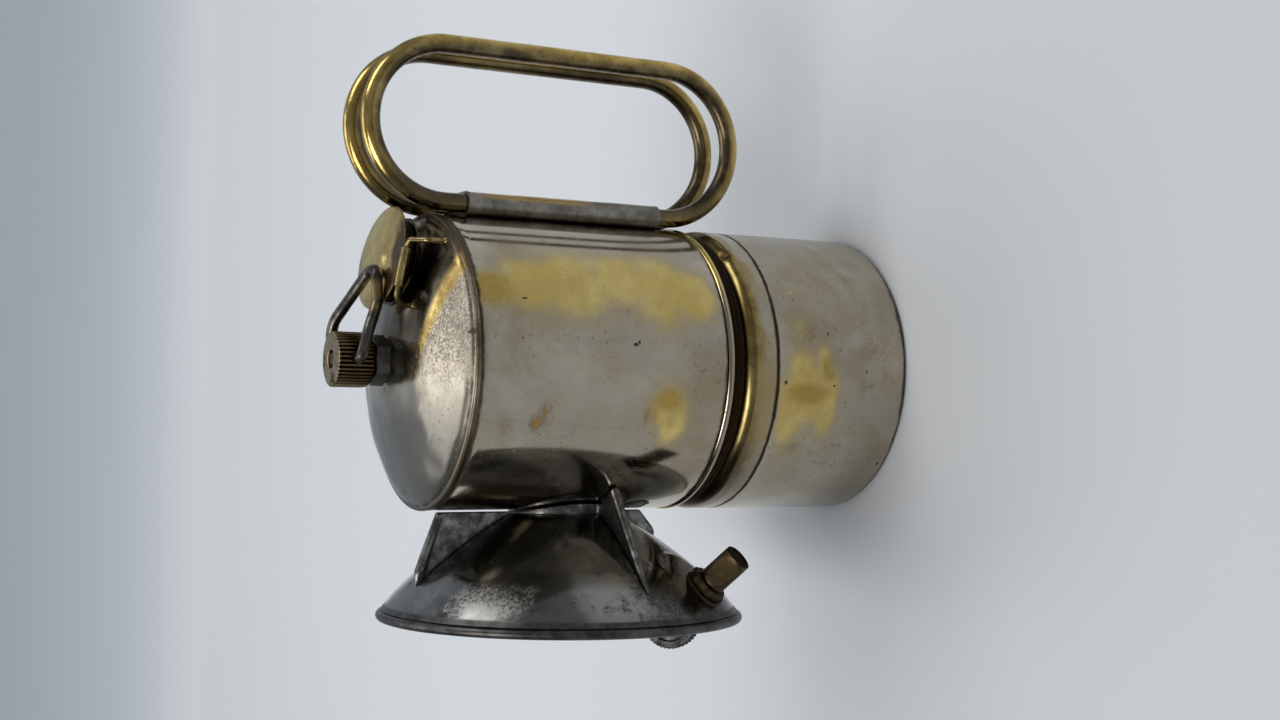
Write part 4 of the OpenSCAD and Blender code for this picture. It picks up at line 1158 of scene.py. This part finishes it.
neck_foot = [(-0.7, -0.6), (0.75, -0.25), (0.45, 0.3), (0.12, 0.62), (0, 1.1)]
neck_mouth = [(0, 0.9), (0.22, 0.5), (0.22, 0.2), (0, 0), (-0.5, 0), (-0.7, 0.3)]
neck_rings = [neck_ring(NECK_R + wide, None, lift) for wide, lift in neck_foot]
neck_rings += [neck_ring(NECK_R + wide, drop) for wide, drop in neck_mouth]
piece("filler_tube", [stack(neck_rings)], "lamp", ["filler_neck"], neck_metal)

lid_gasket = [(0, 0.05)] + steps((3, 0.05), (9.0, 0.05), 4) + arc(8.9, 0.6, 0.5, -80, 0, 4)
lid_gasket += arc(9.0, 1.9, 0.4, -60, 60, 5) + [(9.2, 3.0), (9.3, 3.25), (0, 3.25)]
turned("lid_seal", lid_gasket, 96, "lid", "lid_gasket", lid_rubber, ripple(0.05, 3, 6.0),
       closed=False, place=on_mouth)

lid_ball = (LID_R**2 + LID_CROWN**2) / (2 * LID_CROWN)


def lid_top(r):
    """Height of the lid's upper face."""
    return LID_Z + LID_T + LID_CROWN - lid_ball + math.sqrt(lid_ball**2 - r * r)


lid_line = [(r, lid_top(r)) for r in [0, *np.linspace(0.6, LID_R - 0.35, 22)]]
lid_line += off(LID_R, LID_Z, (-0.1, 0.52), (0, 0.32), (-0.12, 0.08), (-0.4, 0))
lid_under = [*np.linspace(LID_R - 1.2, 1, 10), 0]
lid_line += [(r, LID_Z + LID_CROWN * (1 - (r / LID_R) ** 2) * 0.6) for r in lid_under]


def lid_dents(p):
    """Creases and dents in the lid, in its own frame."""
    hold = clamp((LID_R - 0.2 - math.hypot(p.x, p.y)) / 3)
    k = 0.22 * noise.noise(Vector((p.x, p.y, 0)) / 4.2 + Vector((3, 1, 5)))
    k -= 0.3 * hill(p.y + 4.6 - 0.25 * p.x, 0, 0.9, 1) * clamp((p.x + 4) / 3)
    return p + Vector((0, 0, k * hold))


lid_disc = moved(moved(lathe(lid_line, 128, False), lid_dents), on_mouth)
tab_line = [(0.7, 0.32), (1.6, 0.30), (2.6, 0.34), (2.6, -0.26), (1.6, -0.28), (0.7, -0.30)]
tab_shape = moved(extrude(tab_line, -KNUCKLE_LEN / 2 + 0.2, KNUCKLE_LEN / 2 - 0.2), on_hinge)
piece("filler_lid", [lid_disc, tab_shape], "lid", ["water_lid"], lid_brass)
roll_line = arc(0, 0, KNUCKLE_R, 30, 360, 22) + arc(0, 0, KNUCKLE_BORE, 360, 30, 22)
roll_shape = moved(extrude(roll_line, -KNUCKLE_LEN / 2, KNUCKLE_LEN / 2), on_hinge)
piece("lid_knuckle", [roll_shape], "lid", [], knuckle_brass)

bar_end = KNUCKLE_LEN / 2 + HINGE_WIRE_R
bar = [on_hinge((0, 0, side * bar_end)) for side in (-1, 1)]
foot_a = on_mouth((KNUCKLE_X - bar_end - 2.4, 0, 0)) + Vector((0, HINGE_Y + 1.24, 0))
foot_b = on_mouth((KNUCKLE_X + bar_end + 1.575, 0, 0)) + Vector((0, HINGE_Y - 4.96, 0))
skin = dome_height(math.hypot(foot_a.x, foot_a.y))
hinge_path = [
    (foot_a.x - 0.5, foot_a.y, skin - 2), (foot_a.x - 0.6, foot_a.y, skin + 1.7),
    bar[0] + Vector((-2.0, 0.6, 0.45)), bar[0], bar[1], bar[1] + Vector((1.3, -0.9, -0.4)),
    (foot_b.x, foot_b.y, MOUTH_Z - 1), (foot_b.x, foot_b.y, WALL_Z + 0.8),
]
hinge_line = fine(bend(hinge_path, [2.6, 2.4, 0.1, 0.1, 0.9, 1.8], 10), 0.8)
hinge_shapes = [sweep(hinge_line, HINGE_WIRE_R, 16)]
solder = [(0, -0.6), (1.0, -0.5), (0.95, -0.2), (0.8, 0), (0.6, 0.2), (0, 0.25)]
for foot in (foot_a - Vector((0.5, 0, 0)), foot_b):
    low = dome_height(min(33.9, math.hypot(foot.x, foot.y)))
    hinge_shapes.append(moved(lathe(off(0, low, *solder), 24, False), shifted(foot.x, foot.y, 0)))
piece("lid_hinge_wire", hinge_shapes, "lamp", ["hinge_wire"], hinge_brass)


# Valve

post = off(0, DOME_Z, (STEM_BORE, -2.2), (4.9, -0.75), (5.05, -0.4), (5.05, 0.06), (4.95, 0.1))
post += off(0, DOME_Z, (GLAND_R, 0.1))
post += [(GLAND_R, PACKING_Z), (STEM_BORE, PACKING_Z)]
turned("post", post, 96, "lamp", "valve_post", post_mat)

packing = off(0, PACKING_Z, (STEM_FIT, 0.15), (2.2, 0.03), (3.3, 0.03), (GLAND_R - 0.05, 0.3))
packing += off(0, PACKING_Z, (GLAND_R - 0.05, 0.8), (3.3, 1.07), (2.2, 1.07), (STEM_FIT, 0.95))
turned("packing", packing, 64, "lamp", "packing_ring", felt_mat)

nut = hex_nut(10, DOME_Z + 0.12, NUT_Z, STEM_BORE, 0.3, (GLAND_R + 0.05, PACKING_Z + 1.1))
piece("gland", [nut], "lamp", ["gland_nut"], nut_steel, None, 20)

knob = [(STEM_FIT, KNOB_Z)] + off(KNOB_R, KNOB_Z, (-1.1, 0), (-0.5, 0.25), (-0.15, 0.8))
knob += steps((KNOB_R, KNOB_Z + 1.4), (KNOB_R, KNOB_TOP - 0.55), 8)
knob += off(KNOB_R, KNOB_TOP, (0, -0.3), (-0.08, -0.1), (-0.3, 0), (-0.95, 0.04))
knob += off(0, KNOB_TOP, (3.4, 0.1), (2.35, 0.1), (2.15, 0), (2.05, -0.5), (STEM_FIT, -0.55))
knob_wave = knurls(KNURLS, KNOB_R - 0.9, 0.5, (KNOB_Z + 0.1, 0.5), (KNOB_TOP, 0.2), (0.42, 0.4))
turned("knob", knob, KNURLS * 12, "valve", "valve_knob", knob_brass, None, 30, wave=knob_wave)

stem = off(0, STEM_LOW, (0, -0.8), (0.45, -0.8), (STEM_R, 0.8))
stem += off(0, KNOB_TOP, (STEM_R, -0.3), (1.3, -0.08), (0.9, -0.02), (0.6, -0.12), (0, -0.15))
turned("stem", stem, 48, "valve", "valve_stem", brass_dark, closed=False)

leg_y = KNOB_R + LEVER_R + 0.7
reach, fall, hump, half_tip, sway = 20.0, 4.0, 2.6, 2.5, 3.5
lever_path = [
    (0, -3.1, 0), (0, -leg_y, 0), (KNOB_R, -leg_y, -fall * 0.4), (reach * 0.64, -half_tip - sway - 1, -fall),
    (reach, -half_tip - sway, -fall), (reach, half_tip - sway, -fall), (reach * 0.33, leg_y, hump),
    (0, leg_y, 0), (0, 3.1, 0),
]
lever_line = fine(bend(lever_path, [1.6, 3, 5, 2.2, 2.2, 9, 1.2]), 0.7)
lever_radii = [LEVER_R * (1 + 0.03 * noise.noise(p / 2.5)) for p in lever_line]
lever_shape = moved(sweep(lever_line, lever_radii, 24), shifted(0, 0, PIVOT_Z))
piece("lever", [lever_shape], "lever", ["lever_wire"], lever_steel)


# Reflector, brace and burner


def bowl_line(back, n=40):
    """The bowl's section from its flat middle to the rim, moved back."""
    flat = next(r for r in np.arange(10.2, 20, 0.1) if bowl(r) < BOWL_DEPTH)
    return [(r, -bowl(r) - back) for r in np.linspace(flat, BOWL_R - BOWL_ROLL, n)]


bowl_shape = off(0, -BOWL_DEPTH, (5.05, 0), (10, 0)) + bowl_line(0)
bowl_shape += arc(BOWL_R - BOWL_ROLL, -bowl(BOWL_R - BOWL_ROLL) / 2, BOWL_ROLL, 100, -110, 14)
bowl_shape += bowl_line(BOWL_T)[::-1] + off(0, -BOWL_DEPTH - BOWL_T, (10, 0), (5.05, 0))


def bowl_warp(p):
    """Shallow dents, felt across the beam, and the boss that the flint tube sits on."""
    d = Vector((0, p.y, p.z - BEAM_Z))
    if d.length < 14:
        return p
    k = noise.noise(p / 17 + Vector((2, 8, 1)))
    near = clamp((BOSS_OUT - math.hypot(p.y - spark_foot.y, p.z - spark_foot.z)) / (BOSS_OUT - BOSS_IN))
    share = max(1 - CONE_SHARE, near * near * (3 - 2 * near)) - (1 - CONE_SHARE)
    lift = share / CONE_SHARE * (bowl_curve(d.length) - bowl(d.length))
    if d.length > BOWL_R - BOWL_ROLL:
        lift = 0
    return p + d.normalized() * 0.12 * k + Vector((lift, 0, 0))


turned("bowl", bowl_shape, 224, "lamp", "reflector", bowl_mat, bowl_warp, place=on_beam)


def bowl_radius(depth):
    """Radius of the bowl's curve at a depth behind the rim."""
    return BOWL_R * math.sqrt(1 - depth / BOWL_CURVE)


def bowl_back(r):
    """Distance of the bowl's back from the lamp's axis, at a distance from the beam."""
    return RIM_X - bowl(r) - BOWL_T


def bowl_edge(r0, r1, n=24):
    """Points on the bowl's back, as (distance from the lamp's axis, distance from the beam)."""
    return [(bowl_back(r) + BOWL_GAP, r) for r in np.linspace(r0, r1, n)]


def tank_edge(y0, y1, curved, n=10):
    """Points on the tank's wall with a gap, as (distance from the lamp's axis, distance from the beam)."""
    return [(tank_face(y, TANK_GAP) if curved else TANK_R + TANK_GAP, y) for y in np.linspace(y0, y1, n)]


def tank_face(y, gap=0.05):
    """How far forward or back the tank's wall lies at a side distance y."""
    return math.sqrt((TANK_R + gap) ** 2 - y * y)


def upright(x, y, t):
    return (-x, t, BEAM_Z + y)


def level(x, y, t):
    return (-x, y, BEAM_Z - FIN_DROP + t)


def behind_bowl(p):
    """How far a point lies behind the bowl's back."""
    far = math.hypot(p.y, p.z - BEAM_Z)
    slope = 2 * BOWL_CURVE * far / BOWL_R**2
    return (bowl_back(far) + p.x) / math.hypot(1, slope)


def bead(points, place, radii):
    """A rolled edge along a fin, that thins out where it comes to the bowl."""
    line = [p for p in fine([place(x, y, 0) for x, y in points], 0.5) if behind_bowl(p) > 0.3]
    n = len(line)
    sizes = [radii[0] + (radii[1] - radii[0]) * i / (n - 1) for i in range(n)]
    return sweep(line, [min(r, behind_bowl(p) - 0.05) for r, p in zip(sizes, line)], 12)


def hub_ring(r, front, n=72):
    """A ring of points round the beam, on the bowl's back or on the tank's curve."""
    out = []
    for t in turns(n):
        y = r * math.sin(t)
        x = bowl_back(r) + BOWL_GAP if front else tank_face(y, TANK_GAP)
        out.append((-x, y, BEAM_Z + r * math.cos(t)))
    return out


top_r = bowl_radius(TOP_IN) - 0.6
low_r = FIN_LOW + 4
side_r = math.sqrt(bowl_radius(SIDE_IN) ** 2 - FIN_DROP**2) - 0.8
low_corner = TANK_R + 5.4
wall_x = TANK_R + TANK_GAP
fin_up = tank_edge(0, FIN_TOP, False) + bowl_edge(0, top_r)[::-1]
fin_down = tank_edge(0, -FIN_LOW, False) + [(low_corner, -low_r)]
fin_down += [(x, -y) for x, y in bowl_edge(0, low_r)[::-1]]
wing = tank_edge(0, FIN_SIDE, True) + bowl_edge(0, side_r)[::-1]
wing_edge = [(tank_face(FIN_SIDE, TANK_GAP) + 0.6, FIN_SIDE - 0.6), (RIM_X - SIDE_IN - 0.2, side_r)]
top_edge = [(wall_x + 0.6, FIN_TOP - 0.7), (44, FIN_TOP + 2.5), (RIM_X - TOP_IN - 0.2, top_r)]
low_edge = [(wall_x + 0.5, -FIN_LOW + 0.5), (low_corner, -low_r + 0.6)]
brace_shapes = [plate(fin_up, FIN_T, upright), plate(fin_down, FIN_T, upright)]
for side in (-1, 1):
    brace_shapes.append(plate([(x, side * y) for x, y in wing], FIN_T, level))
brace_shapes.append(bead(top_edge, upright, (0.95, 1.3)))
for side in (-1, 1):
    brace_shapes.append(bead([(x, side * y) for x, y in wing_edge], level, (1.15, 0.9)))
brace_shapes.append(bead(low_edge, upright, (0.8, 0.8)))
hub = [hub_ring(HUB_BORE, True), hub_ring(HUB_R, True), hub_ring(HUB_R, False), hub_ring(HUB_BORE, False)]
brace_shapes.append(stack(hub))
brace = piece("brace", brace_shapes, "lamp", ["reflector_brace"], brace_mat, None, 60)
melt(brace, 0.3, 6)

socket_len = SOCKET_OUT - SOCKET_X
socket = [(3.05, 0), (5, 0), (5, socket_len - 0.5), (4.6, socket_len), (2.4, socket_len), (2.4, 3), (3.05, 3)]
turned("burner_stem", socket, 72, "lamp", "burner_socket", brass, place=along_beam(SOCKET_X))

on_hub = along_beam(RIM_X - BOWL_DEPTH)
washer = lathe([(5.05, 0.02), (8.4, 0.02), (8.6, 0.25), (8.4, 0.5), (5.05, 0.5)], 72)
nut_shapes = [moved(hex_nut(14, 0.05, 3.05, 5.05, 0.8), on_hub), moved(washer, on_hub)]
piece("bowl_nut", nut_shapes, "lamp", ["reflector_nut"], brass, None, 25)

on_socket = along_beam(SOCKET_OUT)
plug = lathe([(1, -3), (2.2, -3), (2.25, 0.05), (1, 0.05)], 48)
burner_shapes = [moved(plug, on_socket), moved(hex_nut(7.4, 0.05, 2.45, 1.0, 0.8), on_socket)]
piece("burner_body", burner_shapes, "lamp", ["burner_base"], brass_bright, None, 25)

tip = [(0.5, 0), (2.75, 0), (3, 0.25), (2.9, 1.2), (2.55, 1.35), (2.5, 1.7), (2.75, 1.9)]
tip += [(1.95, 5.5), (1.75, 5.9), (1.4, 6), (0.6, 6), (0.5, 5.8)]
turned("burner_jet", tip, 64, "lamp", "burner_tip", ceramic_mat,
       place=along_beam(SOCKET_OUT + 2.5))


# Striker

sleeve_low = -WHEEL_IN + WHEEL_R + 0.5
sleeve_top = CAP_END - 1.25
sleeve_hole = SLEEVE_R + 0.05
tube = [(SLEEVE_BORE, sleeve_low)] + off(SLEEVE_R, sleeve_low, (-0.2, 0), (0, 0.25))
tube += [(SLEEVE_R, sleeve_top), (SLEEVE_BORE, sleeve_top)]
flange_line = [(3.4 * math.cos(t), max(-2.4, min(2.4, 3.4 * math.sin(t)))) for t in turns(48)]
flange = prism(flange_line, -2.55, -1.86, 0.12)
sleeve_shapes = [moved(lathe(tube, 64), on_striker), moved(flange, on_striker)]
piece("flint_sleeve", sleeve_shapes, "lamp", ["flint_tube"], brass_dark)

clamp_nut = hex_nut(8.7, 0.25, CLAMP_H, sleeve_hole, 0.7)
clamp_washer = lathe([(sleeve_hole, -0.5), (4.9, -0.5), (5.1, -0.1), (4.9, 0.3), (sleeve_hole, 0.3)], 72)
clamp_shapes = [moved(clamp_nut, on_striker), moved(clamp_washer, on_striker)]
piece("clamp", clamp_shapes, "lamp", ["clamp_nut"], brass_dark, None, 25)

cap = [(sleeve_hole, CAP_Z)] + off(CAP_R, CAP_Z, (-0.3, 0), (0, 0.25))
cap += steps((CAP_R, CAP_Z + 0.5), (CAP_R, CAP_END - 0.5), 8)
cap += off(CAP_R, CAP_END, (0, -0.2), (-0.25, 0), (-0.9, 0), (-1.1, -0.25))
cap += off(0, CAP_END, (0, -0.3), (0, -1.2), (sleeve_hole, -1.2))
cap_wave = knurls(CAP_KNURLS, CAP_R - 0.3, 0.16, (CAP_Z + 0.5, 0.4), (CAP_END - 0.5, 0.3), (0.375, 0.625))
turned("striker_cap", cap, CAP_KNURLS * 8, "lamp", "flint_cap", cap_brass, None, 30, wave=cap_wave,
       place=on_striker)

cheek = [(-CHEEK_W, -1.0), (CHEEK_W, -1.0)] + arc(0, -WHEEL_IN, CHEEK_W, 0, -180, 20)
cheek_out = CHEEK_Y + CHEEK_T
bracket_shapes = [moved(prism(cheek, 0, CHEEK_T, 0.16), on_cheek(y)) for y in (-cheek_out, CHEEK_Y)]
deck = [(-CHEEK_W, -cheek_out), (CHEEK_W, -cheek_out), (CHEEK_W, cheek_out), (-CHEEK_W, cheek_out)]
bracket_shapes.append(moved(prism(deck, -1.8, -1.0, 0.16), on_striker))
piece("striker_bracket", bracket_shapes, "lamp", ["wheel_bracket"], bracket_steel, None, 30)

axle = off(0, -cheek_out - 0.4, (0, -0.2), (0.9, -0.1), (1.35, 0.1), (1.35, 0.35), (1.0, 0.38))
axle += mirrored(axle)
turned("axle", axle, 40, "striker", "striker_axle", brass_dark, closed=False, place=on_axle)


def tooth_radius(t, r, z):
    """Radius of the striker wheel: slanted teeth, run out at its two faces."""
    if r < WHEEL_R - 0.6:
        return r
    turn = (t * TEETH / math.tau + z * 0.12) % 1
    return r - 0.45 * clamp((1.78 - abs(z)) / 0.25) * turn


wheel = [(1.02, -1.5), (2.6, -1.5), (2.8, -1.2), (4.9, -1.2), (5.2, -1.75)]
wheel += off(WHEEL_R, 0, (-0.3, -1.8), (0, -1.55))
wheel += steps((WHEEL_R, -1.2), (WHEEL_R, 1.2), 6) + mirrored(wheel)
turned("wheel", wheel, TEETH * 8, "striker", "striker_wheel", wheel_steel, None, 30,
       wave=tooth_radius, place=on_axle)


# Handle


def loop_line(y, n=48):
    """The centre line of one handle loop: straight sides and round ends."""
    end_r = LOOP_W / 2
    pts = []
    for start, side in ((0, 1), (math.pi, -1)):
        for k in range(n + 1):
            t = start + math.pi * k / n
            z = LOOP_Z + side * (LOOP_H - LOOP_W) / 2 + end_r * math.sin(t)
            pts.append((LOOP_X + end_r * math.cos(t), y, z))
    return fine(pts + [pts[0]], 1.6)[:-1]


for name, y in (("handle_front", -LOOP_Y), ("handle_back", LOOP_Y)):
    line = loop_line(y)
    loop_radii = [WIRE_R * (1 + 0.012 * noise.noise(p / 9)) for p in line]
    piece(name + "_loop", [sweep(line, loop_radii, 28, True)], "lamp", [name], wire_brass)


def clip_ring(z, r, back):
    """A flat oval round the two wires at one height, with its tank side at back(y)."""
    out = arc(GRIP_X, -LOOP_Y, r, 180, 360, 19)
    out += [(GRIP_X + r, y) for y in np.linspace(-LOOP_Y, LOOP_Y, 8)[1:-1]]
    out += arc(GRIP_X, LOOP_Y, r, 0, 180, 19)
    out += [(back(y), y) for y in np.linspace(LOOP_Y, -LOOP_Y, 14)[1:-1]]
    return [(x, y, z) for x, y in out]


clip_end = [(0, 0), (0.15, 0.1), (0.5, 0.1), (0.8, 0)]
clip_levels = [(CLIP_LOW + z, grow) for z, grow in clip_end]
clip_levels += [(z, 0) for z in np.linspace(CLIP_LOW + 3, CLIP_HIGH - 3, 16)]
clip_levels += [(CLIP_HIGH - z, grow) for z, grow in clip_end[::-1]]
clip_rings = [clip_ring(z, GRIP_R + CLIP_T + grow, tank_face) for z, grow in clip_levels]
clip_rings += [clip_ring(z, GRIP_R, lambda y: TANK_R + 1.0) for z in (CLIP_HIGH, CLIP_LOW)]


def clip_warp(p):
    """Hammered unevenness on the clip's outer face."""
    if p.x < GRIP_X + 1:
        return p
    return p + Vector((0.14 * noise.noise(p / 6 + Vector((5, 5, 1))), 0, 0))


piece("clip", [stack(clip_rings)], "lamp", ["handle_clip"], clip_metal, clip_warp)

# CAD nodes that stay as they are and get a material
for name, mat in {"filter_plate": brass, "drip_tube": brass, "gas_tube": brass, "flint_spring": steel,
                  "flint": wheel_steel}.items():
    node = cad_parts[name]
    node.data.materials.clear()
    node.data.materials.append(mat)


# Stage, in metres from here on

FLOOR_TONE = (0.66, 0.68, 0.70)
WALL_TONE = (0.50, 0.545, 0.60)
# Paler tone of the far floor and walls: painted light that makes up for the lamps' fall-off.
FAR_LIT_TONE = (0.93, 0.935, 0.95)
STAGE = 6.0
FAR_WALL_H = 2.5
COVE_Y = 0.64
COVE_R = 0.1
BACK_Y = COVE_Y + COVE_R
BACK_H = 2.2


def paper():
    """Pale paper, greyer and bluer up the wall; the floor has painted light, lighter behind the lamp and
    lighter still far off, where the lamps fall off.
    """
    s = Shader("paper", 0.0)
    x, y, _ = s.axes
    # Painted light: the floor is painted lighter from in front of the lamp to behind it.
    floor = s.mix(s.span(y, -180, 260), FLOOR_TONE, shade(FLOOR_TONE, 1.22))
    floor = s.mix(s.fleck((2.5, 3), 0.2, 0.8, 0, 0.06), floor, WALL_TONE)
    tone = s.mix(s.span(y, 655, 735), floor, WALL_TONE)
    far = s.most(s.size(x), s.times(y, -1.0))
    # Painted light: far off, the paper turns to the paler far tone.
    s.colour = s.mix(s.span(far, 800, 3200), tone, FAR_LIT_TONE)
    s.rough = 0.55
    return s.finish()


def backdrop():
    """A pale floor that runs up into a wall behind the lamp, with plain walls far off on its other sides."""
    line = [(y, 0.0) for y in np.linspace(-STAGE, COVE_Y, 14)] + arc(COVE_Y, COVE_R, COVE_R, -90, 0, 11)[1:]
    line += [(BACK_Y, z) for z in np.linspace(0.3, BACK_H, 6)]
    verts, faces = [], []
    for y, z in line:
        verts += [(-STAGE, y, z), (STAGE, y, z)]
    for i in range(len(line) - 1):
        faces.append((2 * i, 2 * i + 1, 2 * i + 3, 2 * i + 2))
    for x0, x1, y1 in [(-STAGE, -STAGE, BACK_Y), (STAGE, STAGE, BACK_Y), (-STAGE, STAGE, -STAGE)]:
        n = len(verts)
        verts += [(x0, -STAGE, 0), (x1, y1, 0), (x1, y1, FAR_WALL_H), (x0, -STAGE, FAR_WALL_H)]
        faces.append((n, n + 1, n + 2, n + 3))
    data = bpy.data.meshes.new("backdrop")
    data.from_pydata(verts, [], faces)
    data.shade_smooth()
    data.materials.append(paper())
    linked("backdrop", data)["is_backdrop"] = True


backdrop()


def soft_light(name, place, size, power):
    """A rectangular lamp that shines on the object's middle."""
    lamp = bpy.data.lights.new(name, "AREA")
    lamp.shape = "RECTANGLE"
    lamp.size, lamp.size_y = size
    lamp.energy = power
    obj = linked(name, lamp)
    obj.location = place
    obj.rotation_euler = (Vector((0, 0, 0.07)) - Vector(place)).to_track_quat("-Z", "Y").to_euler()


soft_light("key", (-0.45, -0.35, 1.0), (0.6, 0.5), 4.6)
soft_light("fill", (0.85, 0.1, 0.9), (0.6, 0.6), 3.6)
soft_light("top", (-0.06, 0.62, 1.0), (0.9, 0.8), 4.2)

world = bpy.data.worlds.new("room")
world.use_nodes = True
room = world.node_tree.nodes["Background"]
room.inputs["Color"].default_value = (0.66, 0.665, 0.68, 1)
room.inputs["Strength"].default_value = 0.4
bpy.context.scene.world = world
bpy.context.scene.view_settings.view_transform = "Standard"

# The camera of the photograph: pitched down about 28 degrees, with the lamp's top to the left of the frame
AROUND = Matrix.Rotation(math.radians(-2.5), 3, "Z")
PITCH, ROLL, FOCUS = 0.489098, 0.032584, 1699.94
CAMERA_AT = Vector((2.01186, -366.9128, 250.46358)) * MM
FRAME_W, SENSOR = 1280, 36.0
look = Vector((0, math.cos(PITCH), -math.sin(PITCH)))
right = Vector((1, 0, 0))
up = right.cross(look)
lamp_right = right * math.cos(ROLL) + up * math.sin(ROLL)
lamp_up = up * math.cos(ROLL) - right * math.sin(ROLL)
cam_data = bpy.data.cameras.new("camera")
cam_data.sensor_width = SENSOR
cam_data.lens = FOCUS / FRAME_W * SENSOR
cam_data.clip_start = 0.01
camera = linked("camera", cam_data)
columns = [AROUND @ v for v in (-lamp_up, lamp_right, -look)]
camera.matrix_world = Matrix.Translation(AROUND @ CAMERA_AT) @ Matrix(columns).transposed().to_4x4()
bpy.context.scene.camera = camera

low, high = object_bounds()
